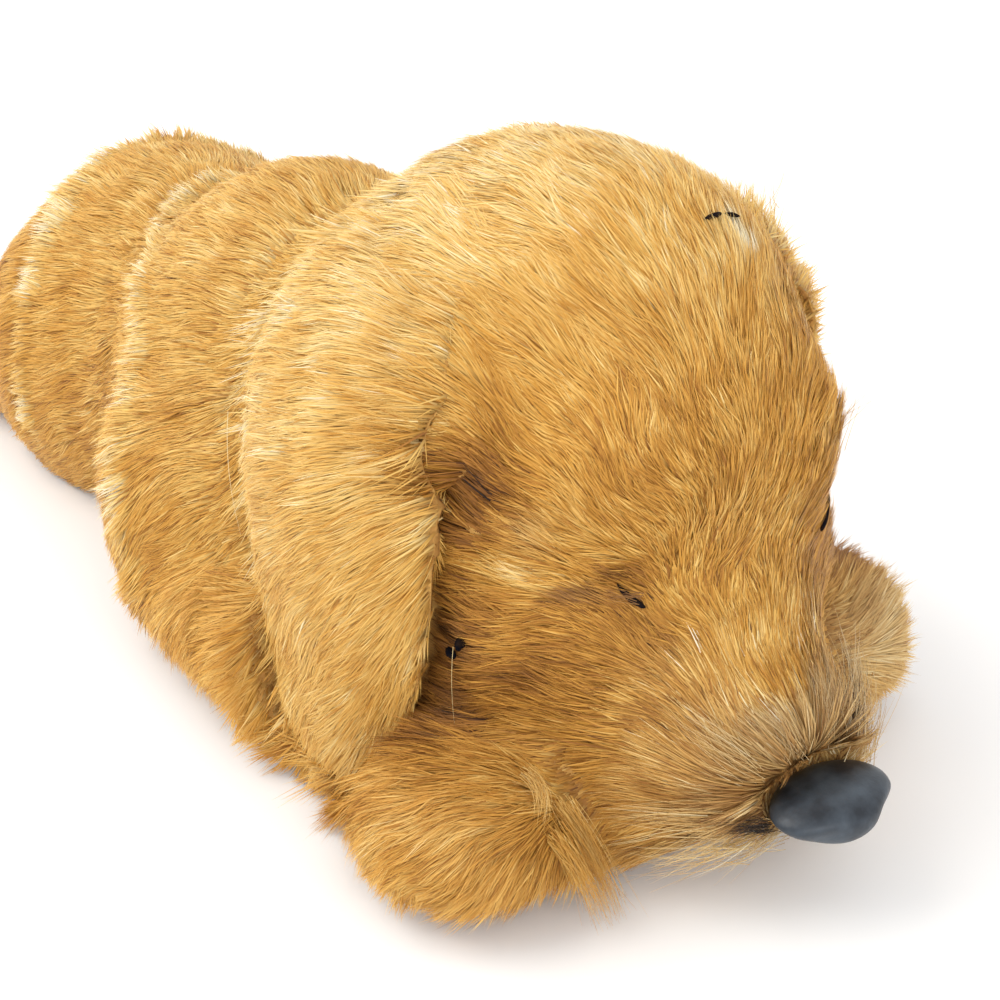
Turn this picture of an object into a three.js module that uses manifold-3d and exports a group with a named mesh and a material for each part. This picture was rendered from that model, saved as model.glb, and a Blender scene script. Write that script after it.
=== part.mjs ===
// Sleeping puppy figurine: a moulded form covered in fur, lying flat with its head between its forepaws.
// Millimetres, +Z up. The nose points to -Y, the dog's right side is at -X, and the floor is z = 0.
// The origin is on the floor, under the middle of the figure.
//
// Four pieces: the covered body with head, legs and tail in one, two ear flaps and a moulded nose.
// Each form is a set of swells (ellipsoids) and tapered limbs that run smoothly into one another.
// A form is a function that is negative inside, and a closed mesh is wrapped round it ring by ring.

import * as THREE from 'three';
import Module from 'manifold-3d';
import { mergeVertices } from 'three/addons/utils/BufferGeometryUtils.js';

// Clearance between pieces that touch.
const SEAT_GAP = 0.35;

// Spans along the figure, each from the middle of a form to the middle of the form that carries it.
const TRUNK_SPAN = { hips: 40.5, shoulders: 32.5, throat: 23.0, skull: 27.5, elbow: 9.5 };
const LEG_SPAN = { shank: 12.0, hindPaw: 20.0, forearm: 2.0, rightPaw: 11.5, leftPaw: 10.0 };
const TAIL_SPAN = { root: 17.0, bend: 16.0, tip: 12.0 };

// Trunk: the padded swells of chest, hips, shoulders and throat, all standing on the floor round a core.
// level is the share of the height at which a swell is widest.
const CHEST = { y: 5.5, halfWidth: 28.5, halfLength: 27.5, height: 53.5, level: 0.42 };
const HIPS = { y: CHEST.y + TRUNK_SPAN.hips, halfWidth: 26.0, halfLength: 24.0, height: 44.5, level: 0.42 };
const NECK_BASE = CHEST.y - TRUNK_SPAN.shoulders;
const SHOULDERS = { y: NECK_BASE, halfWidth: 28.0, halfLength: 23.5, height: 60.5, level: 0.45 };
const THROAT_Y = NECK_BASE - TRUNK_SPAN.throat;
const THROAT = { y: THROAT_Y, halfWidth: 19.5, halfLength: 18.0, height: 34.0, level: 0.42 };
const CORE = { z: 17.0, radius: 23.5 };
const TRUNK_BLEND = 5.0;

// Hind legs: the thigh bulges at the side and the shank runs back along the floor.
const THIGH = { x: 15.5, y: HIPS.y, halfWidth: 14.5, halfLength: 28.0, height: 34.0, level: 0.4 };
const THIGH_BLEND = 8.0;
const SHANK = { x: 15.0, y: HIPS.y + LEG_SPAN.shank, z: 11.0, radius: 13.0 };
const HIND_PAW = { x: 21.5, y: SHANK.y + LEG_SPAN.hindPaw, z: 7.5, radius: 9.0 };

// Tail: lies on the floor behind the rump and curls to the dog's left.
const TAIL_ROOT = { x: 0.0, y: HIPS.y + TAIL_SPAN.root, z: 17.0, radius: 8.0 };
const TAIL_BEND = { x: 2.0, y: TAIL_ROOT.y + TAIL_SPAN.bend, z: 6.0, radius: 6.0 };
const TAIL_TIP = { x: 8.0, y: TAIL_BEND.y + TAIL_SPAN.tip, z: 3.5, radius: 3.5 };

// Forelegs: the elbow swells out of the chest and the forearm runs forward along the floor.
const ELBOW_Y = CHEST.y - TRUNK_SPAN.elbow;
const ELBOW = { x: 25.8, y: ELBOW_Y, halfWidth: 11.0, halfLength: 17.0, height: 34.0, level: 0.46 };
const ELBOW_BLEND = 6.0;
const FOREARM = { x: 28.0, y: ELBOW.y - LEG_SPAN.forearm, z: 10.0, radius: 9.5 };
const WRIST = { back: 11.0, z: 9.0, radius: 8.5 };

// Head: skull, nape, temples, cheeks, brows, muzzle, lips, jaw and the fringe of longer hair below the chin,
// placed from the middle of the skull.
// The whole head lies a little towards the dog's right.
const HEAD_SIDE = -1.3;
const SKULL_Y = SHOULDERS.y - TRUNK_SPAN.skull;
const SKULL = { y: SKULL_Y, z: 43.0, halfWidth: 22.5, halfLength: 25.5, halfHeight: 28.0 };
const NAPE = { back: 14.5, drop: 4.0, halfWidth: 22.0, halfLength: 19.5, halfHeight: 29.0 };
const TEMPLE = { side: 12.5, back: 9.0, drop: 3.0, halfWidth: 16.5, halfLength: 17.0, halfHeight: 24.0 };
const CHEEK = { side: 11.8, back: -7.0, drop: 18.0, halfWidth: 13.6, halfLength: 13.6, halfHeight: 13.6 };
const BROW = { side: 9.0, back: -17.0, drop: -0.5, halfWidth: 7.5, halfLength: 7.5, halfHeight: 7.0 };
const MUZZLE_ROOT = { back: -13.0, drop: 18.5, radius: 15.5 };
const MUZZLE_TIP = { back: -27.8, drop: 28.6, radius: 9.0 };
const LIP = { side: 5.5, back: -24.8, drop: 31.1, halfWidth: 6.5, halfLength: 7.0, halfHeight: 6.0 };
const JAW = { back: -16.5, drop: 31.5, halfWidth: 17.5, halfLength: 16.5, halfHeight: 10.0 };
const FRINGE = { side: 11.0, back: -19.5, drop: 37.0, halfWidth: 10.5, halfLength: 7.5, halfHeight: 6.0 };
const HEAD_BLEND = 7.0;

// Forepaws, each beside the muzzle. The right one is fuller.
const PAW = { level: 0.45 };
const PAW_Y = { right: SKULL.y - LEG_SPAN.rightPaw, left: SKULL.y - LEG_SPAN.leftPaw };
const RIGHT_PAW = { x: 27.8, y: PAW_Y.right, halfWidth: 13.2, halfLength: 13.5, height: 19.0, ...PAW };
const LEFT_PAW = { x: 24.6, y: PAW_Y.left, halfWidth: 11.0, halfLength: 12.5, height: 20.0, ...PAW };

// Closed eyes: a short curved slit below each brow, which faces outward and a little down.
const EYE = { side: 13.6, forward: 19.6, drop: 7.6, length: 5.2, sag: 1.3, thick: 0.9, depth: 2.4 };
const EYE_FACING = { outward: 0.75, forward: 1.0, down: 0.1 };

// Nose: a wide moulded button seated in the tip of the muzzle, fuller above and narrow below.
const NOSE = { forward: 8.8, drop: 1.0, halfWidth: 6.3, halfLength: 4.9, halfHeight: 4.1 };
const NOSE_TOP = { rise: 0.2, height: 0.72 };
const NOSE_CHIN = { drop: 0.35, width: 0.55, length: 0.85, height: 0.65 };
const NOSTRIL = { side: 3.3, forward: 4.2, rise: 0.2, radius: 1.3 };
const NOSE_BLEND = 2.0;
const NOSTRIL_BLEND = 0.8;

// Ears: broad flaps that start on the side of the crown, pass the temples and hang to the forearm.
// wrap is how far the front and back edges bend in round the head, and standOff and tipOut are how far
// the flap's middle lies outside the temple and outside the forearm.
const EAR = { back: 9.0, halfWidth: 17.5, thickness: 6.0, standOff: 2.5, tipOut: 4.0 };
const EAR_EDGE = { frontWrap: 6.0, backWrap: 3.5, tipTaper: 0.18 };
const EAR_CROWN = { side: 9.0, rise: 22.0 };
const EAR_OUT = { side: TEMPLE.side + TEMPLE.halfWidth + EAR.standOff, drop: 6.0 };
const EAR_TIP = { side: FOREARM.x + EAR.tipOut, z: 3.0 };
// The bend from the crown out to the widest place, and from there down: shares of the way out and down.
const EAR_BEND = { shoulder: [0.55, 0.2], temple: [0.87, 0.56], hanging: [0.1, 0.5] };
const EAR_CORNER = 0.72;
// The ear's seat clears everything outside the flap, except at its root in the crown.
const SEAT_PROUD = 8.0;
const SEAT_START = { closed: -0.9, open: -0.3 };

// Mesh fineness: rings along a form and sides around it.
const TRUNK_MESH = { rings: 36, sides: 32 };
const HEAD_MESH = { rings: 28, sides: 36 };
const LIMB_MESH = { rings: 14, sides: 18 };
const NOSE_MESH = { rings: 12, sides: 22 };
const EAR_MESH = { rings: 6, sides: 28 };

/** Signed distance to an ellipsoid, close to true near its surface. */
const swell = (cx, cy, cz, { halfWidth: rx, halfLength: ry, halfHeight: rz }) => (x, y, z) => {
  const scaled = Math.hypot((x - cx) / rx, (y - cy) / ry, (z - cz) / rz);
  const slope = Math.hypot((x - cx) / rx ** 2, (y - cy) / ry ** 2, (z - cz) / rz ** 2);
  return slope < 1e-9 ? -Math.min(rx, ry, rz) : (scaled * (scaled - 1)) / slope;
};

/** A swell that stands on the floor, mirrored to the side given as -1 or 1. */
const standing = ({ x = 0, y, halfWidth, halfLength, height, level }, side = 1) =>
  swell(side * x, y, height * level, { halfWidth, halfLength, halfHeight: height * (1 - level) });

/** Signed distance to a round limb that tapers from one point to another. */
const limb = (from, fromRadius, to, toRadius) => {
  const run = to.clone().sub(from);
  const span = run.lengthSq();
  return (x, y, z) => {
    const ahead = (x - from.x) * run.x + (y - from.y) * run.y + (z - from.z) * run.z;
    const t = THREE.MathUtils.clamp(ahead / span, 0, 1);
    const away = Math.hypot(x - from.x - t * run.x, y - from.y - t * run.y, z - from.z - t * run.z);
    return away - THREE.MathUtils.lerp(fromRadius, toRadius, t);
  };
};

/** Runs two forms into one another over a width. */
const blendPair = (a, b, width) => (x, y, z) => {
  const da = a(x, y, z);
  const db = b(x, y, z);
  const h = THREE.MathUtils.clamp(0.5 + (0.5 * (db - da)) / width, 0, 1);
  return db + (da - db) * h - width * h * (1 - h);
};
const blend = (width, ...forms) => forms.reduce((whole, form) => blendPair(whole, form, width));

/** Takes one form out of another with a soft edge. */
const hollow = (form, cut, width) => {
  const outside = blendPair((x, y, z) => -form(x, y, z), cut, width);
  return (x, y, z) => -outside(x, y, z);
};

/** The same form on both sides of the figure. */
const bothSides = (form) => (x, y, z) => form(Math.abs(x), y, z);

/** Builds an indexed geometry from points and triangles. */
const meshOf = (points, triangles) => {
  const geometry = new THREE.BufferGeometry();
  geometry.setAttribute('position', new THREE.Float32BufferAttribute(points, 3));
  geometry.setIndex(triangles);
  return geometry;
};

/** Closes a stack of rings with a pole at each end. */
const closeRings = (startPole, rings, endPole) => {
  const sides = rings[0].length;
  const points = [startPole, ...rings.flat(), endPole].flatMap((p) => p.toArray());
  const at = (ring, side) => 1 + ring * sides + (side % sides);
  const last = 1 + rings.length * sides;
  const triangles = [];
  for (let side = 0; side < sides; side += 1) {
    triangles.push(0, at(0, side + 1), at(0, side));
    triangles.push(last, at(rings.length - 1, side), at(rings.length - 1, side + 1));
    for (let ring = 0; ring + 1 < rings.length; ring += 1) {
      triangles.push(at(ring, side), at(ring, side + 1), at(ring + 1, side));
      triangles.push(at(ring, side + 1), at(ring + 1, side + 1), at(ring + 1, side));
    }
  }
  return meshOf(points, triangles);
};

/** Where a ray from inside a form first meets its surface: strides out, then halves the last stride. */
const meet = (form, from, direction) => {
  const inside = (t) => form(...from.clone().addScaledVector(direction, t).toArray()) < 0;
  const stride = 0.5;
  const halvings = 16;
  let near = 0;
  while (inside(near + stride)) near += stride;
  let far = near + stride;
  for (let step = 0; step < halvings; step += 1) {
    const middle = (near + far) / 2;
    if (inside(middle)) near = middle;
    else far = middle;
  }
  return from.clone().addScaledVector(direction, (near + far) / 2);
};

/** Wraps a closed mesh round a form, with rings square to the line from one inner point to another. */
const wrap = (form, from, to, { rings, sides }) => {
  const ahead = to.clone().sub(from).normalize();
  const level = Math.abs(ahead.z) > 0.9 ? new THREE.Vector3(0, 1, 0) : new THREE.Vector3(0, 0, 1);
  const across = level.cross(ahead).normalize();
  const over = ahead.clone().cross(across);
  const startPole = meet(form, from, ahead.clone().negate());
  const endPole = meet(form, to, ahead);
  const stack = [];
  for (let ring = 1; ring < rings; ring += 1) {
    const middle = startPole.clone().lerp(endPole, (1 - Math.cos((Math.PI * ring) / rings)) / 2);
    const loop = [];
    for (let side = 0; side < sides; side += 1) {
      const angle = (2 * Math.PI * (side + 0.5)) / sides;
      const outward = across.clone().multiplyScalar(Math.cos(angle)).addScaledVector(over, Math.sin(angle));
      loop.push(meet(form, middle, outward));
    }
    stack.push(loop);
  }
  return closeRings(startPole, stack, endPole);
};

const wasm = await Module();
wasm.setup();

/** A three.js geometry as a solid that can be joined and cut. */
const solidOf = (geometry) => {
  geometry.deleteAttribute('normal');
  geometry.deleteAttribute('uv');
  const shared = mergeVertices(geometry);
  const vertProperties = new Float32Array(shared.getAttribute('position').array);
  const triVerts = new Uint32Array(shared.getIndex().array);
  return new wasm.Manifold(new wasm.Mesh({ numProp: 3, vertProperties, triVerts }));
};

/** A solid back as a three.js geometry. */
const geometryOf = (solid) => {
  const mesh = solid.getMesh();
  const geometry = meshOf(Array.from(mesh.vertProperties), Array.from(mesh.triVerts));
  geometry.computeVertexNormals();
  return geometry;
};

/** The point of a named place, mirrored to the side given as -1 or 1. */
const pointOf = ({ x = 0, y, z }, side = 1) => new THREE.Vector3(side * x, y, z);

/** The point of a place that is given from the middle of the skull. */
const headPoint = ({ side = 0, back, drop }) => new THREE.Vector3(side, SKULL.y + back, SKULL.z - drop);

/** A swell of the head, at its place from the middle of the skull. */
const headSwell = (spec) => swell(...headPoint(spec).toArray(), spec);

/** Trunk, thighs and elbows in one mesh. */
const trunkGeometry = () => {
  const back = new THREE.Vector3(0, HIPS.y, CORE.z);
  const front = new THREE.Vector3(0, SHOULDERS.y, CORE.z);
  const core = limb(back, CORE.radius, front, CORE.radius);
  const trunk = blend(TRUNK_BLEND, core, ...[HIPS, CHEST, SHOULDERS, THROAT].map((spec) => standing(spec)));
  const withThighs = blendPair(trunk, bothSides(standing(THIGH)), THIGH_BLEND);
  const whole = blendPair(withThighs, bothSides(standing(ELBOW)), ELBOW_BLEND);
  const rise = new THREE.Vector3(0, 0, HIPS.height / 10);
  return wrap(whole, back.add(rise), front.add(rise).add(rise), TRUNK_MESH);
};

/** Skull, nape, temples, cheeks, brows, muzzle, lips, jaw and fringe in one mesh. */
const headGeometry = () => {
  const root = headPoint(MUZZLE_ROOT);
  const tip = headPoint(MUZZLE_TIP);
  const muzzle = limb(root, MUZZLE_ROOT.radius, tip, MUZZLE_TIP.radius);
  const paired = (...specs) => specs.map((spec) => bothSides(headSwell(spec)));
  const snout = blend(TRUNK_BLEND, muzzle, headSwell(JAW), ...paired(LIP, FRINGE));
  const skull = headSwell({ back: 0, drop: 0, ...SKULL });
  const whole = blend(HEAD_BLEND, snout, skull, ...paired(CHEEK, BROW, TEMPLE), headSwell(NAPE));
  return wrap(whole, headPoint({ back: NAPE.back, drop: 0 }), tip, HEAD_MESH);
};

/** A foreleg from the elbow to its paw, on the side given as -1 or 1. */
const forelegGeometry = (side, paw) => {
  const elbow = pointOf(FOREARM, side);
  const wrist = new THREE.Vector3(side * paw.x, paw.y + WRIST.back, WRIST.z);
  const arm = limb(elbow, FOREARM.radius, wrist, WRIST.radius);
  const foot = new THREE.Vector3(side * paw.x, paw.y, paw.height * paw.level);
  return wrap(blendPair(arm, standing(paw, side), TRUNK_BLEND), elbow, foot, LIMB_MESH);
};

/** A hind leg from under the thigh to its paw, on the side given as -1 or 1. */
const hindLegGeometry = (side) => {
  const shank = pointOf(SHANK, side);
  const foot = pointOf(HIND_PAW, side);
  return wrap(limb(shank, SHANK.radius, foot, HIND_PAW.radius), shank, foot, LIMB_MESH);
};

/** The tail: two tapered lengths that run into one another at a slight bend. */
const tailGeometry = () => {
  const [root, bend, tip] = [TAIL_ROOT, TAIL_BEND, TAIL_TIP].map((place) => pointOf(place));
  const upper = limb(root, TAIL_ROOT.radius, bend, TAIL_BEND.radius);
  const lower = limb(bend, TAIL_BEND.radius, tip, TAIL_TIP.radius);
  return wrap(blendPair(upper, lower, TAIL_BEND.radius), root, tip, LIMB_MESH);
};

/** The slit of a closed eye: a thin crescent, extruded through the skin along the way the eye faces. */
const eyeSlitGeometry = (side) => {
  const half = EYE.length / 2;
  const outline = new THREE.Shape();
  outline.moveTo(-half, 0);
  outline.quadraticCurveTo(0, -2 * EYE.sag - EYE.thick, half, 0);
  outline.quadraticCurveTo(0, -2 * EYE.sag + EYE.thick, -half, 0);
  const extrusion = { depth: 3 * EYE.depth, bevelEnabled: false, curveSegments: 6 };
  const slit = new THREE.ExtrudeGeometry(outline, extrusion);
  const facing = new THREE.Vector3(side * EYE_FACING.outward, -EYE_FACING.forward, -EYE_FACING.down);
  const place = new THREE.Object3D();
  place.position.copy(headPoint({ side: side * EYE.side, back: -EYE.forward, drop: EYE.drop }));
  place.up.set(0, 0, 1);
  place.lookAt(place.position.clone().add(facing));
  place.translateZ(-EYE.depth);
  place.updateMatrix();
  return slit.applyMatrix4(place.matrix);
};

/** The profile an ear hangs in, seen from the front, from its crown end to its tip. */
const earProfile = (side) => {
  const crown = { x: EAR_CROWN.side, z: SKULL.z + EAR_CROWN.rise };
  const out = { x: EAR_OUT.side, z: SKULL.z - EAR_OUT.drop };
  const tip = { x: EAR_TIP.side, z: EAR_TIP.z };
  const between = (from, to, [shareX, shareZ]) => ({
    x: THREE.MathUtils.lerp(from.x, to.x, shareX),
    z: THREE.MathUtils.lerp(from.z, to.z, shareZ),
  });
  const shoulder = between(crown, out, EAR_BEND.shoulder);
  const temple = between(crown, out, EAR_BEND.temple);
  const hanging = between(out, tip, EAR_BEND.hanging);
  const stops = [crown, shoulder, temple, out, hanging, tip];
  const points = stops.map(({ x, z }) => new THREE.Vector3(side * x, SKULL.y + EAR.back, z));
  return new THREE.CatmullRomCurve3(points);
};

/**
 * An ear flap: a thin pillow with round edges, bent along its profile.
 * grow makes it larger all round, and proud thickens it on its outer face.
 */
const earGeometry = (side, grow = 0, proud = 0) => {
  const { smoothstep, clamp } = THREE.MathUtils;
  const profile = earProfile(side);
  const halfLength = profile.getLength() / 2;
  const rounded = (share) => Math.sign(share) * Math.abs(share) ** EAR_CORNER;
  const pointAt = (share, angle, face) => {
    const along = share * rounded(Math.cos(angle));
    const across = share * rounded(Math.sin(angle));
    const reach = along * (halfLength + grow);
    const t = clamp(0.5 + reach / (2 * halfLength), 0, 1);
    const beyond = reach - (t - 0.5) * 2 * halfLength;
    const tangent = profile.getTangentAt(t);
    const outward = new THREE.Vector3(side * -tangent.z, 0, side * tangent.x);
    const width = (EAR.halfWidth + grow) * (1 - EAR_EDGE.tipTaper * smoothstep(along, 0, 1));
    const clearing = face > 0 ? proud * smoothstep(along, SEAT_START.closed, SEAT_START.open) : 0;
    const bulge = (EAR.thickness / 2 + grow) * Math.sqrt(1 - share ** 4) + clearing;
    const wrapIn = (across < 0 ? EAR_EDGE.frontWrap : EAR_EDGE.backWrap) * across ** 2;
    return profile
      .getPointAt(t)
      .addScaledVector(tangent, beyond)
      .addScaledVector(outward, face * bulge - wrapIn)
      .add(new THREE.Vector3(0, width * across, 0));
  };
  const ring = (share, face) =>
    Array.from({ length: EAR_MESH.sides }, (_, step) =>
      pointAt(share, (-side * 2 * Math.PI * step) / EAR_MESH.sides, face),
    );
  const shares = Array.from({ length: EAR_MESH.rings - 1 }, (_, step) =>
    Math.sin((Math.PI / 2) * ((step + 1) / EAR_MESH.rings)),
  );
  const outer = shares.map((share) => ring(share, 1));
  const rim = proud > 0 ? [ring(1, 1), ring(1, -1)] : [ring(1, 1)];
  const inner = shares.toReversed().map((share) => ring(share, -1));
  return closeRings(pointAt(0, 0, 1), [...outer, ...rim, ...inner], pointAt(0, 0, -1));
};

/** The nose button. grow makes it larger all round, for its seat, and leaves the nostrils out. */
const noseGeometry = (grow = 0) => {
  const middle = headPoint({ back: MUZZLE_TIP.back - NOSE.forward, drop: MUZZLE_TIP.drop + NOSE.drop });
  const { halfWidth, halfLength, halfHeight } = NOSE;
  const top = swell(0, middle.y, middle.z + NOSE_TOP.rise * halfHeight, {
    halfWidth,
    halfLength,
    halfHeight: NOSE_TOP.height * halfHeight,
  });
  const chin = swell(0, middle.y, middle.z - NOSE_CHIN.drop * halfHeight, {
    halfWidth: NOSE_CHIN.width * halfWidth,
    halfLength: NOSE_CHIN.length * halfLength,
    halfHeight: NOSE_CHIN.height * halfHeight,
  });
  const button = blendPair(top, chin, NOSE_BLEND);
  const dent = { halfWidth: NOSTRIL.radius, halfLength: NOSTRIL.radius, halfHeight: NOSTRIL.radius };
  const nostrils = bothSides(swell(NOSTRIL.side, middle.y - NOSTRIL.forward, middle.z + NOSTRIL.rise, dent));
  const grown = (x, y, z) => button(x, y, z) - grow;
  const form = grow > 0 ? grown : hollow(button, nostrils, NOSTRIL_BLEND);
  const step = new THREE.Vector3(0, 1, 0);
  return wrap(form, middle.clone().add(step), middle.clone().sub(step), NOSE_MESH);
};

/** Everything above the floor, out to well past the figure. */
const aboveFloor = () => {
  const reach = 10 * SKULL.halfHeight;
  const block = new THREE.BoxGeometry(2 * reach, 2 * reach, reach);
  return solidOf(block.translate(0, 0, reach / 2));
};

/** Moves what belongs to the head to where the head lies, and makes it a solid. */
const headSolid = (geometry) => solidOf(geometry.translate(HEAD_SIDE, 0, 0));

/** The covered body: trunk, head, legs and tail joined, cut flat below, with seats for ears and nose. */
const bodySolid = () => {
  const parts = [
    headSolid(headGeometry()),
    solidOf(forelegGeometry(-1, RIGHT_PAW)),
    solidOf(forelegGeometry(1, LEFT_PAW)),
    solidOf(hindLegGeometry(-1)),
    solidOf(hindLegGeometry(1)),
    solidOf(tailGeometry()),
  ];
  const cuts = [
    earGeometry(-1, SEAT_GAP, SEAT_PROUD),
    earGeometry(1, SEAT_GAP, SEAT_PROUD),
    noseGeometry(SEAT_GAP),
    eyeSlitGeometry(-1),
    eyeSlitGeometry(1),
  ];
  const joined = parts.reduce((whole, part) => whole.add(part), solidOf(trunkGeometry()));
  return cuts.map(headSolid).reduce((whole, cut) => whole.subtract(cut), joined.intersect(aboveFloor()));
};

const goldenFur = new THREE.MeshStandardMaterial({ color: 0xc98f3c, roughness: 0.9, metalness: 0 });
const earFur = new THREE.MeshStandardMaterial({ color: 0xd9ab58, roughness: 0.9, metalness: 0 });
const nosePlastic = new THREE.MeshStandardMaterial({ color: 0x20262e, roughness: 0.45, metalness: 0 });

const figurine = new THREE.Group();
const addPiece = (name, solid, material) => {
  const mesh = new THREE.Mesh(geometryOf(solid), material);
  mesh.name = name;
  figurine.add(mesh);
};
addPiece('body', bodySolid(), goldenFur);
addPiece('right_ear', headSolid(earGeometry(-1)), earFur);
addPiece('left_ear', headSolid(earGeometry(1)), earFur);
addPiece('nose', headSolid(noseGeometry()), nosePlastic);

// Brings the middle of the figure over the origin.
const middle = new THREE.Box3().setFromObject(figurine).getCenter(new THREE.Vector3());
figurine.position.set(-middle.x, -middle.y, 0);

export default figurine;
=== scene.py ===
"""Sleeping puppy figurine: short golden fur over a moulded form, with a plastic nose and closed eyes.

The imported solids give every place. A fine skin is made round each furred solid, and a coat of single
tapered hairs grows on it, combed by a few strokes as a maker would brush a hide. Blender works in metres,
and the coat is laid out in millimetres, counted from the nose tip and from the middle of the head.
"""

import logging
import math
from dataclasses import dataclass, field
from enum import Enum, IntEnum

import bmesh
import bpy
import numpy as np
from mathutils import Matrix, Vector


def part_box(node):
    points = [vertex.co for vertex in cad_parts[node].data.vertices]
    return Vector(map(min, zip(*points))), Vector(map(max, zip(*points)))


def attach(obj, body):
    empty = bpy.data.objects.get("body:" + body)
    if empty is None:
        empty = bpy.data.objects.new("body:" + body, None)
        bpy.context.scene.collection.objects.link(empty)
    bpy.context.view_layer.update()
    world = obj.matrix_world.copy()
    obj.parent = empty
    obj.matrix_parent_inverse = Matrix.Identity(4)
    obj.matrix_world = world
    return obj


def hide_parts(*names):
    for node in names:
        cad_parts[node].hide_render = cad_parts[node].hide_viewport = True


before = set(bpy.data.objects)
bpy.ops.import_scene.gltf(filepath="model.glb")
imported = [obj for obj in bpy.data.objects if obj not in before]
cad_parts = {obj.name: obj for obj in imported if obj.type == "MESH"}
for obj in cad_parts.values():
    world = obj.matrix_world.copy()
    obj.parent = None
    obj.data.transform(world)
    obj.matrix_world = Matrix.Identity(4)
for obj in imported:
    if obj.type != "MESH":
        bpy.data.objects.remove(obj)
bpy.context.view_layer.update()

MM = 0.001
SEED = 41

log = logging.getLogger("puppy")


def corners_mm(node: str) -> tuple[np.ndarray, np.ndarray]:
    """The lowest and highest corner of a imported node, in millimetres."""
    low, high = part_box(node)
    return np.array(low) / MM, np.array(high) / MM


NOSE_LOW, NOSE_HIGH = corners_mm("nose")
MIDDLE_X = float(NOSE_LOW[0] + NOSE_HIGH[0]) / 2
NOSE_TIP_Y = float(NOSE_LOW[1])
FLOOR_CLEARANCE = 0.25


def unit(vectors: np.ndarray) -> np.ndarray:
    """Scales each vector to length one, leaving those of no length as they are."""
    length = np.linalg.norm(vectors, axis=-1, keepdims=True)
    return vectors / np.maximum(length, 1e-9)


def step_between(values: np.ndarray, start: float, end: float) -> np.ndarray:
    """A smooth step from nought at start to one at end: 3 t squared less 2 t cubed."""
    t = np.clip((values - start) / (end - start), 0, 1)
    return t * t * (3 - 2 * t)


def ripple(points: np.ndarray, wavelength: float, seed: int, waves: int = 7) -> np.ndarray:
    """Soft irregular waves through space.

    The value at a point is the sum of several sines of its distance along random directions, over the
    root of half their count, so that it lies mostly between minus one and one.

    Args:
        points: places in millimetres, one a row.
        wavelength: the typical length of a wave in millimetres.
        seed: which waves to take.
        waves: how many are added.

    Returns:
        One number for each point.
    """
    rng = np.random.default_rng(seed)
    ways = unit(rng.normal(size=(waves, 3)))
    pitch = wavelength * rng.uniform(0.7, 1.4, waves)
    phase = rng.uniform(0, 2 * math.pi, waves)
    return np.sin(points @ (ways / pitch[:, None]).T * 2 * math.pi + phase).sum(1) / math.sqrt(waves / 2)


def puppy_places(points: np.ndarray) -> np.ndarray:
    """Places as (out to either side of the head's middle, back from the nose tip, up from the floor)."""
    return np.stack(
        [np.abs(points[:, 0] - MIDDLE_X), points[:, 1] - NOSE_TIP_Y, points[:, 2]], axis=1
    )


class Draw(IntEnum):
    """What is added to the seed, so that each use of random numbers has its own."""

    SWAY = 1
    FINE_SWAY = 2
    TONE = 3
    FINE_TONE = 4
    LENGTH = 5
    FOLD_RIMS = 6
    BODY_COATS = 10
    EAR_COATS = 30
    LOOSE_HAIRS = 60


class Side(Enum):
    """A side of the dog, as the sign of its X."""

    RIGHT = -1
    LEFT = 1


def into_scene(thing: bpy.types.Object) -> None:
    """Puts an object into the scene."""
    bpy.context.scene.collection.objects.link(thing)


def new_mesh(
    name: str, points: np.ndarray, faces: np.ndarray, normals: np.ndarray | None = None
) -> bpy.types.Object:
    """Puts points and triangles into a new mesh object at the origin.

    Args:
        name: the object's name.
        points: places in millimetres, one a row.
        faces: three point numbers a row, counted so that the face points outwards.
        normals: the shading normal of each point, or None for flat geometry normals.

    Returns:
        The object, linked to the scene.
    """
    mesh = bpy.data.meshes.new(name)
    mesh.vertices.add(len(points))
    mesh.vertices.foreach_set("co", (points * MM).astype(np.float32).ravel())
    mesh.loops.add(faces.size)
    mesh.loops.foreach_set("vertex_index", faces.astype(np.int32).ravel())
    mesh.polygons.add(len(faces))
    mesh.polygons.foreach_set("loop_start", np.arange(0, faces.size, 3, dtype=np.int32))
    mesh.polygons.foreach_set("use_smooth", np.ones(len(faces), bool))
    mesh.update(calc_edges=True)
    if normals is not None:
        mesh.normals_split_custom_set_from_vertices(normals.astype(np.float32))
    piece = bpy.data.objects.new(name, mesh)
    into_scene(piece)
    return piece


def add_number(mesh: bpy.types.Mesh, name: str, values: np.ndarray) -> None:
    """Stores one number for each point of a mesh under a name that a material can read."""
    attribute = mesh.attributes.new(name, "FLOAT", "POINT")
    attribute.data.foreach_set("value", values.astype(np.float32))


def tube_faces(rings: int, sides: int) -> np.ndarray:
    """The triangles of a tube whose points are counted ring by ring, two for each point and its next.

    Args:
        rings: how many rings of points.
        sides: how many points a ring.

    Returns:
        Three point numbers a row.
    """
    row, column = np.meshgrid(np.arange(rings - 1), np.arange(sides), indexing="ij")
    a, b = row * sides + column, row * sides + (column + 1) % sides
    c, d = a + sides, b + sides
    return np.concatenate([np.stack([a, b, d], -1), np.stack([a, d, c], -1)]).reshape(-1, 3)


def square_to(
    ahead: np.ndarray, guide: tuple[float, float, float]
) -> tuple[np.ndarray, np.ndarray]:
    """Two ways of length one that are square to the way ahead and to each other, one to the guide too."""
    first = unit(np.cross(ahead, guide))
    return first, np.cross(ahead, first)


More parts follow.
